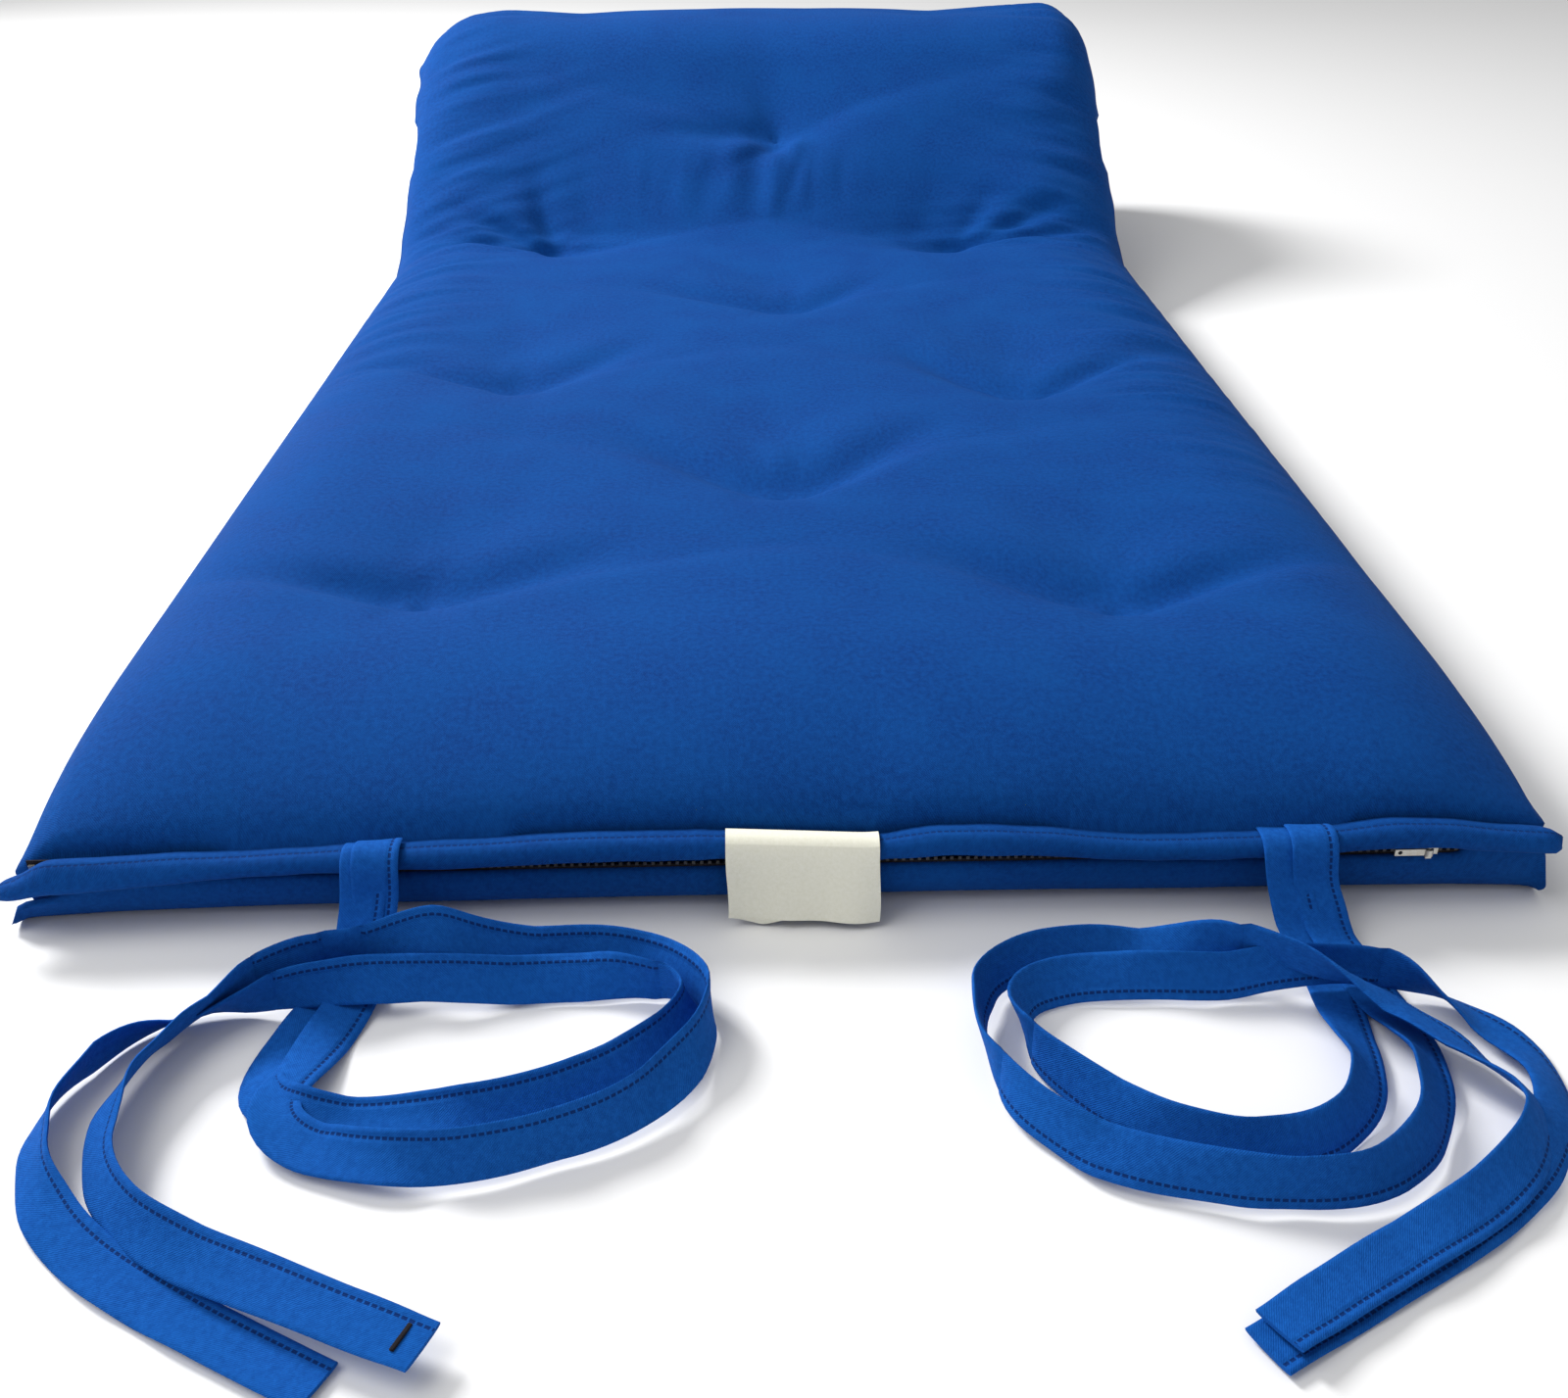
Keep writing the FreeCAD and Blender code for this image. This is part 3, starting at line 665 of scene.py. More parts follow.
def pathStretches():
    # Lines and arcs as (distance, y, z, heading, turn radius with its sign or 0).
    stretches = []
    angle = math.radians(path["rampAngle"])
    plan = [(path["rampStart"], 0), (path["rampRadius"] * angle, path["rampRadius"]),
            (path["rampLength"], 0), (path["crestRadius"] * angle, -path["crestRadius"]),
            (path["crestLength"], 0), (path["backRadius"] * math.pi, -path["backRadius"]),
            (path["crestLength"], 0), (path["innerRadius"] * math.pi, -path["innerRadius"]),
            (1.0, 0)]
    distance, y, z, heading = 0.0, 0.0, mattress["loft"] / 2, 0.0
    for size, radius in plan:
        stretches.append((distance, y, z, heading, radius))
        distance += size
        if radius == 0:
            y += size * math.cos(heading)
            z += size * math.sin(heading)
        else:
            turned = heading + size / radius
            y += radius * (math.sin(turned) - math.sin(heading))
            z -= radius * (math.cos(turned) - math.cos(heading))
            heading = turned
    return stretches


def bendAlongPath(flat):
    # Carry points given as (x, distance, height) onto the bent middle plane.
    s, h = flat[:, 1], flat[:, 2]
    out = np.zeros_like(flat)
    out[:, 0] = flat[:, 0]
    for distance, y, z, heading, radius in pathStretches():
        here = s >= distance if distance > 0 else np.ones(len(s), bool)
        d = s[here] - distance
        if radius == 0:
            angle = np.full(len(d), heading)
            cy, cz = y + d * math.cos(heading), z + d * math.sin(heading)
        else:
            angle = heading + d / radius
            cy = y + radius * (np.sin(angle) - math.sin(heading))
            cz = z - radius * (np.cos(angle) - math.cos(heading))
        out[here, 1] = footY + cy - h[here] * np.sin(angle)
        out[here, 2] = cz + h[here] * np.cos(angle)
    return out


tuftRows = [mattress["rowFirst"] + mattress["rowPitch"] * row for row in range(mattress["rows"])]
tufts = [(x, s) for row, s in enumerate(tuftRows)
         for x in ((-mattress["tuftSide"], mattress["tuftSide"]) if row % 2 == 0 else (0.0,))]


def gridStops(stops, cells):
    values = []
    for a, b, count in zip(stops, stops[1:], cells):
        values += list(np.linspace(a, b, count + 1)[:-1])
    return np.array(values + [stops[-1]])


def makeSheet(top):
    # One cover panel in its starting shape: a lens with a soft dip at each tuft.
    half = mattress["width"] / 2
    side = mattress["tuftSide"]
    xs = gridStops([-half, -side, 0, side, half], mattress["cellsAcross"])
    rowCells = [mattress["cellsPerRow"]] * (mattress["rows"] - 1)
    ss = gridStops([0] + tuftRows + [mattress["length"]],
                   [mattress["cellsFoot"]] + rowCells + [mattress["cellsHead"]])
    deselectAll()
    bpy.ops.mesh.primitive_grid_add(x_subdivisions=len(xs) - 1, y_subdivisions=len(ss) - 1, size=2)
    sheet = bpy.context.object
    co = getCoords(sheet.data)
    x = xs[np.rint((co[:, 0] + 1) / 2 * (len(xs) - 1)).astype(int)]
    s = ss[np.rint((co[:, 1] + 1) / 2 * (len(ss) - 1)).astype(int)]
    rim = mattress["lensRim"]
    acrossShare = np.clip((half - np.abs(x)) / rim, 0, 1)
    alongShare = np.clip(np.minimum(s, mattress["length"] - s) / rim, 0, 1)
    lens = np.sqrt(1 - (1 - acrossShare) ** 2) * np.sqrt(1 - (1 - alongShare) ** 2)
    seam = -mattress["seamDrop"]
    full = mattress["loft"] / 2 - seam if top else -mattress["loft"] / 2 - seam
    pit = mattress["dimpleTop"] if top else mattress["dimpleBottom"]
    z = seam + lens * full
    for tx, ts in tufts:
        reach = np.exp(-np.hypot(x - tx, s - ts) / mattress["startPit"])
        z += reach * (pit - (seam + full))
    setCoords(sheet.data, np.stack([x, s, z], 1))
    if not top:
        makeActive(sheet)
        bpy.ops.object.mode_set(mode="EDIT")
        bpy.ops.mesh.select_all(action="SELECT")
        bpy.ops.mesh.flip_normals()
        bpy.ops.object.mode_set(mode="OBJECT")
    return sheet


def blowUp(cover):
    # Run the cloth: slack panels under pressure, held only at the tufts.
    start = getCoords(cover.data)
    cover.shape_key_add(name="Basis")
    flatKey = cover.shape_key_add(name="flat")
    flat = start.copy()
    flat[:, 0] *= mattress["slack"]
    middle = mattress["length"] / 2
    flat[:, 1] = middle + (flat[:, 1] - middle) * mattress["slack"]
    flat[:, 2] = -mattress["seamDrop"]
    flatKey.data.foreach_set("co", flat.ravel())
    held = cover.vertex_groups.new(name="tufts")
    for tx, ts in tufts:
        near = np.where(np.hypot(start[:, 0] - tx, start[:, 1] - ts) < 0.002)[0]
        held.add([int(v) for v in near], 1.0, "ADD")
    cloth = cover.modifiers.new("Cloth", "CLOTH")
    settings = cloth.settings
    settings.vertex_group_mass = "tufts"
    settings.rest_shape_key = flatKey
    settings.quality = 6
    settings.mass = 0.3
    settings.tension_stiffness = 40
    settings.compression_stiffness = 12
    settings.shear_stiffness = 8
    settings.bending_stiffness = 0.5
    settings.tension_damping = settings.compression_damping = settings.shear_damping = 8
    settings.air_damping = 4
    settings.use_pressure = True
    settings.uniform_pressure_force = mattress["pressure"]
    settings.effector_weights.gravity = 0
    cloth.collision_settings.use_collision = False
    cloth.point_cache.frame_end = mattress["frames"]
    for step in range(1, mattress["frames"] + 1):
        bpy.context.scene.frame_set(step)
    ready = cover.evaluated_get(bpy.context.evaluated_depsgraph_get())
    blown = getCoords(bpy.data.meshes.new_from_object(ready))
    cover.modifiers.clear()
    cover.shape_key_clear()
    setCoords(cover.data, blown)
    bpy.context.scene.frame_set(1)
    return start, blown


def settleRim(start, blown):
    # the blown shape counts inside; towards the sewn rim the panel keeps its cut line
    half, length = mattress["width"] / 2, mattress["length"]
    gap = np.minimum(half - np.abs(start[:, 0]), np.minimum(start[:, 1], length - start[:, 1]))
    inside = smoothstep(0.0, mattress["rim"], gap)[:, None]
    return start + (blown - start) * inside


dimples = {                          # how the top sits round a tuft; near is the side towards the foot
    "pitAcross": 0.052, "pitNear": 0.030, "pitFar": 0.098, "pitPoint": 0.86,
    "wingDepth": 0.70, "wingReach": 0.105, "wingNear": 0.020, "wingFar": 0.062, "wingSweep": 0.30,
    "share": 0.86,                   # the rest comes from the cloth simulation
    "shifts": {(-1, 0): (-0.007, 0.010), (1, 0): (-0.006, -0.012), (0, 1): (0.007, -0.036),
               (-1, 2): (0.003, -0.018), (1, 2): (-0.007, -0.050), (0, 3): (0.020, -0.008),
               (-1, 4): (-0.003, 0.0), (1, 4): (-0.016, 0.0), (0, 5): (0.018, -0.014)},
}


def tuftedTop(x, s):
    # share of the crown left at each point: 0 in a tuft, 1 on the pillows between
    left = np.ones(len(x))
    for tx, ts in tufts:
        pull = 1.0 if ts < 1.35 else 0.35               # the rolled part is drawn in less
        u, v = x - tx, s - ts
        far = v > 0
        across = dimples["pitAcross"]
        r = np.hypot(u / across, v / np.where(far, dimples["pitFar"], dimples["pitNear"]))
        pit = np.exp(-r ** dimples["pitPoint"])
        bow = v - dimples["wingSweep"] * (np.hypot(u, 0.02) - 0.02)
        wide = np.where(bow > 0, dimples["wingFar"], dimples["wingNear"])
        reach = np.exp(-np.abs(u) / dimples["wingReach"])
        wing = dimples["wingDepth"] * reach * np.exp(-(np.abs(bow) / wide) ** 1.4)
        left *= (1 - pull * pit) * (1 - pull * wing * (1 - pit))
    return left


def tuftWarp(x, s):
    # no two tufts are quite in line: where the cloth round each one is moved to
    dx, ds = np.zeros(len(x)), np.zeros(len(x))
    for (side, row), (mx, ms) in dimples["shifts"].items():
        near = np.exp(-(np.hypot(x - side * mattress["tuftSide"], s - tuftRows[row]) / 0.085) ** 2)
        dx += near * mx
        ds += near * ms
    return dx, ds


def streaks(a, b, seed, fine, coarse):
    # Long thin ripples: fine across a, coarse along b. From -1 to 1, always the same.
    return np.array([noise.noise(Vector((p / fine, q / coarse, seed)))
                     + 0.5 * noise.noise(Vector((p / fine * 2.1, q / coarse * 1.6, seed + 9)))
                     for p, q in zip(a, b)])


creases = {                          # from a tuft: (tuft x, row, angle in degrees, length, depth, width)
    "list": [(-0.208, 0, 168, 0.15, 0.0050, 0.016), (-0.208, 0, 20, 0.16, 0.0046, 0.020),
             (0.208, 0, 12, 0.15, 0.0050, 0.016), (0.208, 0, 160, 0.17, 0.0046, 0.020),
             (0.0, 1, 22, 0.18, 0.0050, 0.020), (0.0, 1, 158, 0.16, 0.0046, 0.018),
             (-0.208, 2, 170, 0.14, 0.0046, 0.014), (-0.208, 2, 30, 0.16, 0.0040, 0.018),
             (0.208, 2, 14, 0.15, 0.0046, 0.014), (0.208, 2, 155, 0.16, 0.0042, 0.018),
             (0.0, 3, 24, 0.15, 0.0040, 0.016), (0.0, 3, 160, 0.15, 0.0044, 0.016),
             (-0.208, 4, 150, 0.17, 0.0060, 0.011), (-0.208, 4, 176, 0.15, 0.0050, 0.010),
             (-0.208, 4, 112, 0.16, 0.0036, 0.013), (0.208, 4, 8, 0.16, 0.0052, 0.011),
             (0.208, 4, 30, 0.17, 0.0050, 0.012), (0.208, 4, 60, 0.13, 0.0034, 0.013),
             (0.0, 5, 192, 0.16, 0.0036, 0.016), (0.0, 5, 262, 0.10, 0.0040, 0.012),
             (0.0, 5, 246, 0.10, 0.0034, 0.011), (0.0, 5, 284, 0.08, 0.0030, 0.010)],
}


wrinkles = {                         # depth of each kind, in metres
    "sideFine": 0.0058, "sideLong": 0.0034, "sideIn": 0.05, "sideSpread": 0.055,
    "rampFoot": 1.045, "rampFootSpread": 0.055, "rampFootDepth": 0.0036, "rampSide": 0.0026,
    "flutesAt": (-0.02, 1.135), "flutesDepth": 0.0042, "slow": 0.0012,
    "creaseGain": 1.35, "creaseBow": 0.10, "ridge": 0.45,
}


def addWrinkles(x, s, top):
    # Height to add to the panel at (x, s), in metres.
    half = mattress["width"] / 2
    edge = half - np.abs(x)
    rise = np.zeros(len(x))
    right = smoothstep(0, 0.2, x)
    left = smoothstep(0, 0.2, -x)
    side = np.exp(-((edge - wrinkles["sideIn"]) / wrinkles["sideSpread"]) ** 2)
    gatherRight = smoothstep(0.22, 0.55, s) * (1 - smoothstep(1.5, 1.7, s))
    gatherLeft = smoothstep(0.45, 0.85, s) * (1 - smoothstep(1.5, 1.7, s))
    fineFolds = streaks(s + 0.25 * np.abs(x), x, 3.1, 0.021, 0.16)
    longFolds = streaks(s, x, 7.7, 0.045, 0.3)
    strength = right * gatherRight + 0.8 * left * gatherLeft
    rise += side * strength * (wrinkles["sideFine"] * fineFolds + wrinkles["sideLong"] * longFolds)
    base = np.exp(-((s - wrinkles["rampFoot"]) / wrinkles["rampFootSpread"]) ** 2)
    base = base * wrinkles["rampFootDepth"] * streaks(s - 0.1 * np.abs(x), x, 12.3, 0.02, 0.2)
    rise += base * smoothstep(0.06, 0.25, np.abs(x))
    rampSide = smoothstep(0.9, 1.05, s) * (1 - smoothstep(1.25, 1.4, s)) * smoothstep(0.12, 0.33, np.abs(x))
    rise += rampSide * wrinkles["rampSide"] * streaks(s + 0.45 * np.abs(x), x, 21.5, 0.026, 0.22)
    fluteX, fluteS = wrinkles["flutesAt"]
    flutes = np.exp(-((s - fluteS) / 0.05) ** 2) * np.exp(-((x - fluteX) / 0.10) ** 2)
    rise += flutes * wrinkles["flutesDepth"] * streaks(x, s, 44.0, 0.024, 0.14)
    slow = streaks(x, s, 31.0, 0.16, 0.22)
    rise += wrinkles["slow"] * slow
    if top:
        for tx, row, degrees, reach, depth, wide in creases["list"]:
            ts = tuftRows[row]
            angle = math.radians(degrees)
            u = (x - tx) * math.cos(angle) + (s - ts) * math.sin(angle)
            v = -(x - tx) * math.sin(angle) + (s - ts) * math.cos(angle)
            v = v - wrinkles["creaseBow"] * np.clip(u, 0, 1) ** 2 / 0.15 * math.copysign(1, math.cos(angle))
            fade = smoothstep(0.0, 0.02, u) * (1 - smoothstep(0.3 * reach, reach, u))
            ridges = sum(np.exp(-((v - way * 2 * wide) / (1.5 * wide)) ** 2) for way in (-1, 1))
            valley = np.exp(-(v / wide) ** 2) - wrinkles["ridge"] * ridges
            rise -= wrinkles["creaseGain"] * depth * fade * valley
    return rise


def shapeHeights(x, s, height, top):
    # Hold the blown panels to the mattress's thickness: flat below, crowned above.
    half, length = mattress["width"] / 2, mattress["length"]
    seam = -mattress["seamDrop"]
    footShare = np.clip(s / mattress["footSlope"], 0, 1)
    rim = 0.10 - 0.05 * smoothstep(1.2, 1.35, s) * smoothstep(0.1, 0.3, x)
    sideShare = np.clip((half - np.abs(x)) / rim, 0, 1)
    if top:
        slope = (1 - (1 - footShare) ** 2) ** 0.62 * (1 - (1 - sideShare) ** 2) ** 0.5
        limit = seam + (mattress["crownTop"] - seam) * slope
        knee = seam + (limit - seam) * 0.55
        over = np.clip((height - knee) / np.maximum(limit - knee, 1e-4), 0, None)
        eased = knee + (limit - knee) * (1 - np.exp(-over))
        out = np.where(height > knee, eased, height)
        pit = mattress["dimpleTop"]
        planned = np.where(limit > pit, pit + (limit - pit) * tuftedTop(x, s), limit)
        share = dimples["share"] + (0.96 - dimples["share"]) * smoothstep(1.08, 1.2, s)
        out = planned * share + out * (1 - share)
        tight = smoothstep(mattress["rollFrom"], mattress["rollFrom"] + 0.1, s)
        return np.where(tight > 0, np.minimum(out, out * (1 - tight) + 0.0421 * tight), out)
    limit = mattress["crownBottom"]
    heel = seam + (limit - seam) * np.sqrt(1 - (1 - np.clip(s / mattress["heel"], 0, 1)) ** 2)
    height = height + (np.minimum(height, heel) - height) * (1 - smoothstep(0.036, 0.150, s))
    knee = limit * 0.8
    over = np.clip((knee - height) / (knee - limit), 0, None)
    return np.where(height < knee, knee + (limit - knee) * (1 - np.exp(-2.2 * over)), height)


def makeCover():
    top, bottom = makeSheet(True), makeSheet(False)
    deselectAll()
    bottom.select_set(True)
    top.select_set(True)
    bpy.context.view_layer.objects.active = top
    bpy.ops.object.join()
    cover = bpy.context.object
    cover.name = "cover"
    bpy.ops.object.mode_set(mode="EDIT")
    bpy.ops.mesh.select_all(action="SELECT")
    bpy.ops.mesh.remove_doubles(threshold=0.0005)
    bpy.ops.object.mode_set(mode="OBJECT")
    for layer in list(cover.data.uv_layers):
        cover.data.uv_layers.remove(layer)
    start = getCoords(cover.data)
    blown = start.copy()
    start, blown = blowUp(cover)
    print("cover blown up")
    shaped = settleRim(start, blown)
    half, length = mattress["width"] / 2, mattress["length"]
    hair = 1e-4
    seam = (np.abs(np.abs(start[:, 0]) - half) < hair) | (start[:, 1] < hair) \
        | (start[:, 1] > length - hair)
    upper = start[:, 2] > -mattress["seamDrop"] + 1e-5
    # one round of subdivision on the simulated shape, with the flat cloth map kept beside it
    setCoords(cover.data, shaped)
    for label, values in (("flatX", start[:, 0]), ("flatS", start[:, 1]),
                          ("upper", np.where(seam, 0.0, np.where(upper, 1.0, -1.0)))):
        attribute = cover.data.attributes.new(label, "FLOAT", "POINT")
        attribute.data.foreach_set("value", values.astype(np.float32))
    smooth = cover.modifiers.new("Subdivision", "SUBSURF")
    smooth.levels = smooth.render_levels = 1
    applyModifiers(cover)
    mesh = cover.data
    count = len(mesh.vertices)
    read = {}
    for label in ("flatX", "flatS", "upper"):
        values = np.zeros(count, np.float32)
        mesh.attributes[label].data.foreach_get("value", values)
        read[label] = values.astype(float)
    co = getCoords(mesh)
    x, s, height = co[:, 0], co[:, 1], co[:, 2].copy()
    onTop = read["upper"] > 0
    edgeShare = np.clip(np.minimum(half - np.abs(read["flatX"]),
                                   np.minimum(read["flatS"], length - read["flatS"])) / 0.04, 0, 1)
    shapedTop = shapeHeights(x, s, height, True)
    shapedBottom = shapeHeights(x, s, height, False)
    height = np.where(onTop, shapedTop, np.where(read["upper"] < 0, shapedBottom, height))
    riseTop = addWrinkles(read["flatX"], read["flatS"], True)
    riseBottom = addWrinkles(read["flatX"], read["flatS"], False)
    away = np.ones(count)
    for tx, ts in tufts:                                # the knots keep their height
        away *= smoothstep(0.0, 0.03, np.hypot(read["flatX"] - tx, read["flatS"] - ts))
    height += np.where(onTop, riseTop, -0.5 * riseBottom) * edgeShare * away
    dx, ds = tuftWarp(read["flatX"], read["flatS"])
    x = x + np.where(onTop, dx * edgeShare, 0)
    s = s + np.where(onTop, ds * edgeShare, 0)
    height = np.where(~onTop, np.maximum(height, mattress["crownBottom"]), height)
    rolled = smoothstep(mattress["rollFrom"], mattress["rollFrom"] + 0.1, s)
    height = np.where(onTop & (rolled > 0.5), np.minimum(height, mattress["rollTop"]), height)
    onSeam = np.abs(read["upper"]) < 0.01
    ears = smoothstep(1.22, 1.30, read["flatS"]) * (1 - smoothstep(1.52, 1.60, read["flatS"])) * (x < 0)
    wave = np.array([noise.noise(Vector((v * 26, 4.0 if u > 0 else 9.0, 2.0))) for u, v in zip(x, s)])
    flange = mattress["flange"] + mattress["flangeWave"] * wave + mattress["ears"] * ears * (0.5 + wave)
    x = np.where(onSeam & (np.abs(read["flatX"]) > half - 1e-3), x + np.sign(x) * flange, x)
    depth = np.clip((-mattress["seamDrop"] - height) / mattress["tuckReach"], 0, 1)
    tuck = mattress["tuck"] * (1 - np.sqrt(1 - depth ** 2))
    under = read["upper"] < -0.01
    most = np.where(under, half + 0.001 - tuck, half + 0.009)
    x = np.clip(x, -most, most)
    bent = bendAlongPath(np.stack([x, s, height], 1))
    back, up = edgeShift(x)
    flatS = read["flatS"]
    near = np.where(under, np.exp(-flatS / 0.012), np.exp(-flatS / 0.055))
    cornerOnly = leftCorner(x)
    bent[:, 1] += near * (np.where(back > 0, back, back * cornerOnly) + mattress["lipGap"])
    bent[:, 2] += near * np.where(up > 0, up, up * cornerOnly)
    bent[:, 2] = np.maximum(bent[:, 2], 0.0002)
    setCoords(mesh, bent)
    uv = mesh.uv_layers.new(name="cloth")
    loopVerts = np.zeros(len(mesh.loops), np.int32)
    mesh.loops.foreach_get("vertex_index", loopVerts)
    uv.data.foreach_set("uv", np.stack([read["flatX"][loopVerts], read["flatS"][loopVerts]], 1).ravel())
    outwardNormals(cover)
    smoothShade(cover)
    cover.data.materials.append(coverTwill)
    return cover


def splitCover(cover):
    # Two pieces, cut half way between the folds, each spanning one fold.
    mesh = cover.data
    flatS = np.zeros(len(mesh.vertices), np.float32)
    mesh.attributes["flatS"].data.foreach_get("value", flatS)
    normals = np.array([n.vector[:] for n in mesh.corner_normals])
    polyS = np.array([flatS[list(p.vertices)].mean() for p in mesh.polygons])
    loopVerts = np.zeros(len(mesh.loops), np.int32)
    mesh.loops.foreach_get("vertex_index", loopVerts)
    vertNormals = np.zeros((len(mesh.vertices), 3))
    vertNormals[loopVerts] = normals
    stored = mesh.attributes.new("restNormal", "FLOAT_VECTOR", "POINT")
    stored.data.foreach_set("vector", vertNormals.astype(np.float32).ravel())
    pieces = []
    for name, isFoot in (("coverFoot", True), ("coverHead", False)):
        piece = cover.copy()
        piece.data = cover.data.copy()
        piece.name = piece.data.name = name
        bpy.context.scene.collection.objects.link(piece)
        drop = polyS > mattress["splitAt"] if isFoot else polyS < mattress["splitAt"]
        makeActive(piece)
        bpy.ops.object.mode_set(mode="EDIT")
        bpy.ops.mesh.select_all(action="DESELECT")
        bpy.ops.object.mode_set(mode="OBJECT")
        piece.data.polygons.foreach_set("select", drop)
        bpy.ops.object.mode_set(mode="EDIT")
        bpy.ops.mesh.select_mode(type="FACE")
        bpy.ops.mesh.delete(type="FACE")
        bpy.ops.object.mode_set(mode="OBJECT")
        data = piece.data
        kept = np.zeros(len(data.vertices) * 3, np.float32)
        data.attributes["restNormal"].data.foreach_get("vector", kept)
        data.normals_split_custom_set_from_vertices(kept.reshape(-1, 3).tolist())
        for label in ("flatX", "flatS", "upper", "restNormal"):
            data.attributes.remove(data.attributes[label])
        pieces.append(piece)
    bpy.data.objects.remove(cover)
    return pieces


coverFoot, coverHead = splitCover(makeCover())
layers = ("cover_top", "cover_bottom", "batting_top", "batting_bottom")
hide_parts(*[f"{layer}_foot" for layer in layers])
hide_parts(*[f"{layer}_{part}" for layer in layers for part in ("middle", "ramp", "roll")])
for piece, fold, before, after in ((coverFoot, "foldOne", "foot_section", "middle_section"),
                                   (coverHead, "foldTwo", "middle_section", "head_section")):
    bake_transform(piece)
print("cover done")


# the folded lip over the zipper, and the lower panel that turns under to the floor
lip = {
    "xLow": -0.3855, "xHigh": 0.3835, "steps": 220, "pressed": 0.12, "labelMiddle": 0.0075,
    "endRound": 0.016, "wave": 0.0012, "uneven": 0.10, "frontFrom": -0.0057,
    "section": [(0.0065, 0.0375), (0.0055, 0.0402), (0.0010, 0.0418), (-0.0040, 0.0420),
                (-0.0078, 0.0406), (-0.0098, 0.0378), (-0.0098, 0.0348), (-0.0082, 0.0332),
                (-0.0056, 0.0348), (0.0020, 0.0368)],
}
panel = {
    "xLow": -0.3845, "xHigh": 0.3825, "steps": 180, "boxStitch": 0.345,
    "droop": 0.011, "closeUp": 0.0080, "closeOut": 0.0015, "ripple": 0.0011, "endRound": 0.012,
    "section": [(0.0030, 0.0262), (0.0024, 0.0281), (0.0004, 0.0284), (-0.0010, 0.0270), (-0.0014, 0.0240),
                (-0.0011, 0.0190), (0.0006, 0.0130), (0.0042, 0.0072), (0.0095, 0.0030), (0.0165, 0.0012),
                (0.0240, 0.0006), (0.0240, 0.0018), (0.0165, 0.0026), (0.0102, 0.0044), (0.0056, 0.0084),
                (0.0022, 0.0138), (0.0008, 0.0195), (0.0010, 0.0240)],
}


def makeLip():
    rings = []
    xs = np.linspace(lip["xLow"], lip["xHigh"], lip["steps"])
    back, up = edgeShift(xs)
    section = np.array(lip["section"])
    middle = section.mean(axis=0)
    for i, x in enumerate(xs):
        endGap = min(x - lip["xLow"], lip["xHigh"] - x)
        full = 0.35 + 0.65 * math.sqrt(1 - (1 - min(1, endGap / lip["endRound"])) ** 2)
        wave = noise.noise(Vector((x * 16, 2.0, 0))) * lip["wave"]
        fat = full * (1 + lip["uneven"] * noise.noise(Vector((x * 45, 5.0, 0))))
        hung = float(leftCorner(x))
        # pressed flat under the label
        fat *= 1 - lip["pressed"] * float(smoothstep(0.052, 0.042, abs(x - lip["labelMiddle"])))
        ring = middle + (section - middle) * fat
        # where it droops only the front hangs; the back stays above the slider's way
        ring[:, 0] += footY + back[i]
        if up[i] > 0:
            raised = np.where(ring[:, 1] < 0.0360, 0.62, 1.0)
        else:
            raised = np.where(section[:, 0] < lip["frontFrom"], 1.0, hung)
        ring[:, 1] += wave + up[i] * raised
        rings.append([(x, y, z) for y, z in ring])
    obj = meshFromRings("frontLip", rings)
    outwardNormals(obj)
    smoothShade(obj)
    obj.data.materials.append(lipTwill)
    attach(obj, "foot_section")
    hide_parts("front_flap")


def makePanel():
    rings = []
    xs = np.linspace(panel["xLow"], panel["xHigh"], panel["steps"])
    back, up = edgeShift(xs)
    section = np.array(panel["section"])
    for i, x in enumerate(xs):
        y, z = section[:, 0].copy(), section[:, 1].copy()
        top = smoothstep(0.012, 0.028, z)
        corner = float(smoothstep(0.33, 0.378, -x))      # the lower lip droops at the left corner
        closed = float(smoothstep(panel["boxStitch"] - 0.011, panel["boxStitch"] - 0.003, x))
        z -= top * panel["droop"] * corner
        z += top * closed * (panel["closeUp"] + up[i])
        y -= closed * top * panel["closeOut"]
        deep = float(np.interp(abs(x), [0, 0.24, 0.34, 0.3845], [1.0, 0.85, 0.6, 0.12]))
        y = np.where(y > 0, y * (0.55 + 0.55 * deep), y) + back[i] * 0.5
        ripple = noise.noise(Vector((x * 22, 8.0, 1.0))) * panel["ripple"]
        y += ripple * smoothstep(0.002, 0.012, z)
        z += top * noise.noise(Vector((x * 13, 3.0, 4.0))) * 0.0005 - top * 0.0003
        endGap = min(x - panel["xLow"], panel["xHigh"] - x)
        full = 0.3 + 0.7 * math.sqrt(1 - (1 - min(1, endGap / panel["endRound"])) ** 2)
        z = np.maximum(z * full, 0.0004)
        rings.append([(x, footY + a, b) for a, b in zip(y, z)])
    obj = meshFromRings("frontPanel", rings)
    outwardNormals(obj)
    smoothShade(obj, 55)
    obj.data.materials.append(coverTwill)
    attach(obj, "foot_section")
    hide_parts("front_hem")


makeLip()
makePanel()
print("front edge made")


# care label: two leaves sewn in above the lip, printing left off
label = {"left": -0.0300, "right": 0.0450, "thick": 0.00045, "columns": 40, "rows": 36, "foldRow": 11,
         "second": 0.0011,            # the rear leaf hangs this far behind the front one
         "route": [(0.0052, 0.0405), (0.0010, 0.0434), (-0.0055, 0.0440), (-0.0102, 0.0416),
                   (-0.0118, 0.0370), (-0.0123, 0.0300), (-0.0118, 0.0180), (-0.0122, 0.0065)]}


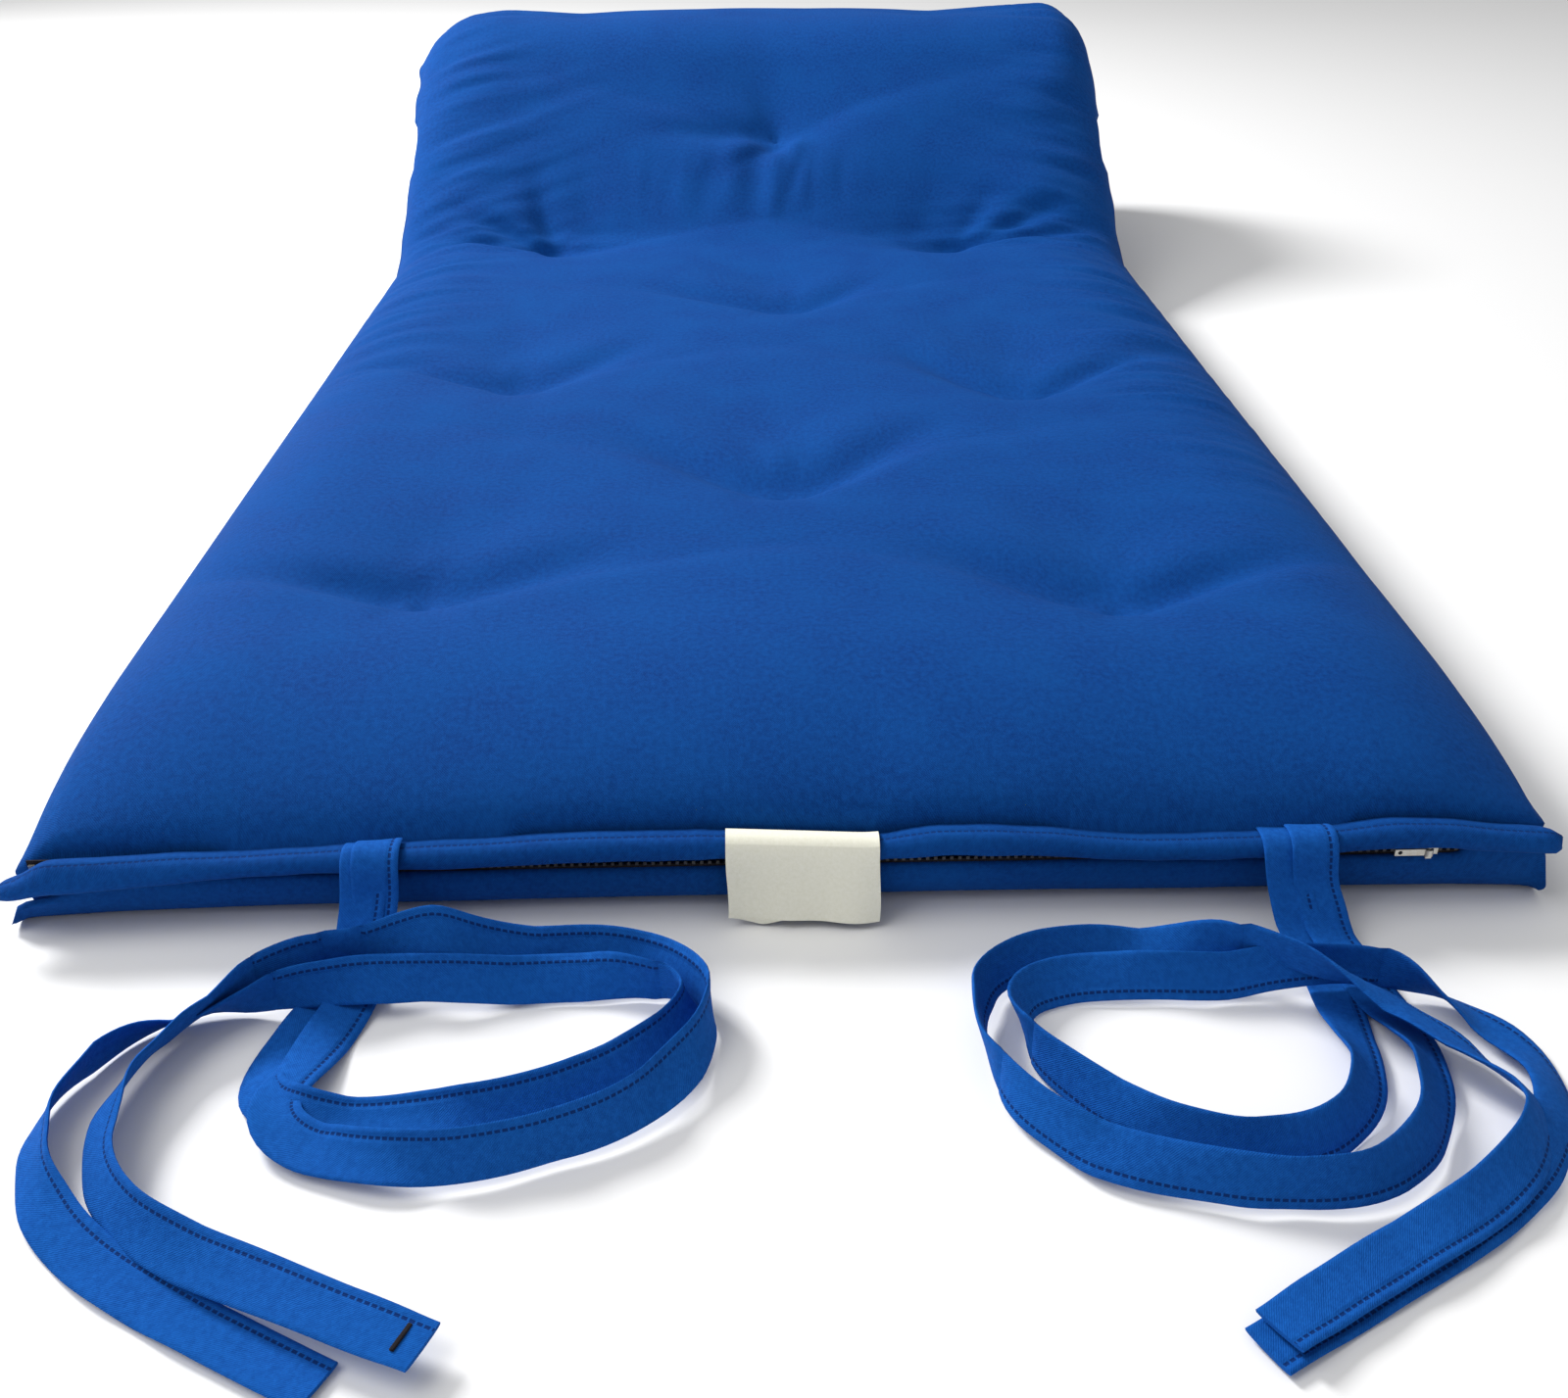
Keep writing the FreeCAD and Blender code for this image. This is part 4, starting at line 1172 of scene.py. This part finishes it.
def makeLeaf(name, offset, width, drop, sewn):
    # a strip from the crease over the lip and down; drop gives how low each end of the bottom edge hangs
    xs = np.linspace(label["left"] + width[0], label["right"] + width[1], label["columns"])
    back, up = edgeShift(xs)
    route = np.array(label["route"])
    reach = runLengths(route)
    rings = []
    for i, x in enumerate(xs):
        share = i / (label["columns"] - 1)
        low = np.interp(share, [a for a, b in drop], [b for a, b in drop])
        line = route.copy()
        line[-1, 1] = low
        line[-2, 1] = (line[-3, 1] + low) / 2
        even = np.linspace(0, reach[-1], label["rows"])
        y = np.interp(even, reach, line[:, 0])
        z = np.interp(even, reach, line[:, 1])
        for turn in range(3):
            y[1:-1] = (y[:-2] + 2 * y[1:-1] + y[2:]) / 4
            z[1:-1] = (z[:-2] + 2 * z[1:-1] + z[2:]) / 4
        hang = np.clip((0.040 - z) / 0.035, 0, 1)
        curl = 0.0016 * math.sin(share * 5.2 + 0.6) + 0.0009 * math.sin(share * 13 + offset * 900)
        y = footY + y + back[i] * (1 - hang) + hang * (curl - 0.0016) + offset
        z = z + up[i] * (1 - hang) + 0.0002
        part = slice(0, label["foldRow"] + 1) if sewn else slice(label["foldRow"], label["rows"])
        y, z, hang = y[part], z[part], hang[part]
        front = [(x + 0.0012 * hang[j] * math.sin(z[j] * 90), y[j], z[j]) for j in range(len(y))]
        way = np.gradient(np.stack([y, z], 1), axis=0)
        way /= np.linalg.norm(way, axis=1)[:, None]
        rear = [(px, py - way[j, 1] * label["thick"], pz + way[j, 0] * label["thick"])
                for j, (px, py, pz) in enumerate(front)]
        rings.append(front + rear[::-1])
    obj = meshFromRings(name, rings)
    outwardNormals(obj)
    smoothShade(obj, 50)
    obj.data.materials.append(labelCloth)
    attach(obj, "foot_section" if sewn else "label_flap")
    return obj


frontDrop = [(0, 0.0060), (0.3, 0.0050), (1, 0.0035)]
rearDrop = [(0, 0.0050), (0.10, 0.0030), (0.22, 0.0012), (0.38, 0.0042), (1, 0.0050)]
labelRoot = makeLeaf("labelRoot", 0.0, (0.0, 0.0), frontDrop, True)
frontLeaf = makeLeaf("labelFront", 0.0, (0.0, 0.0), frontDrop, False)
rearLeaf = makeLeaf("labelRear", label["second"], (0.0012, -0.0018), rearDrop, False)
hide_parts("label")
print("label made")


finishes = {
    "foam_core": foamCream, "tuft_stitches": twineCloth, "zipper_tape": tapeCloth,
    "zipper_teeth": toothPlastic, "zipper_stops": wornNickel, "zipper_slider": wornNickel,
    "zipper_pull": wornNickel, "tie_anchor": coverTwill, "front_flap": coverTwill,
    "front_hem": coverTwill, "label": labelCloth, "batting": battingFibre, "cover": coverTwill,
}
for name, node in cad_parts.items():
    for prefix, finish in finishes.items():
        if name.startswith(prefix):
            node.data.materials.clear()
            node.data.materials.append(finish)
            break
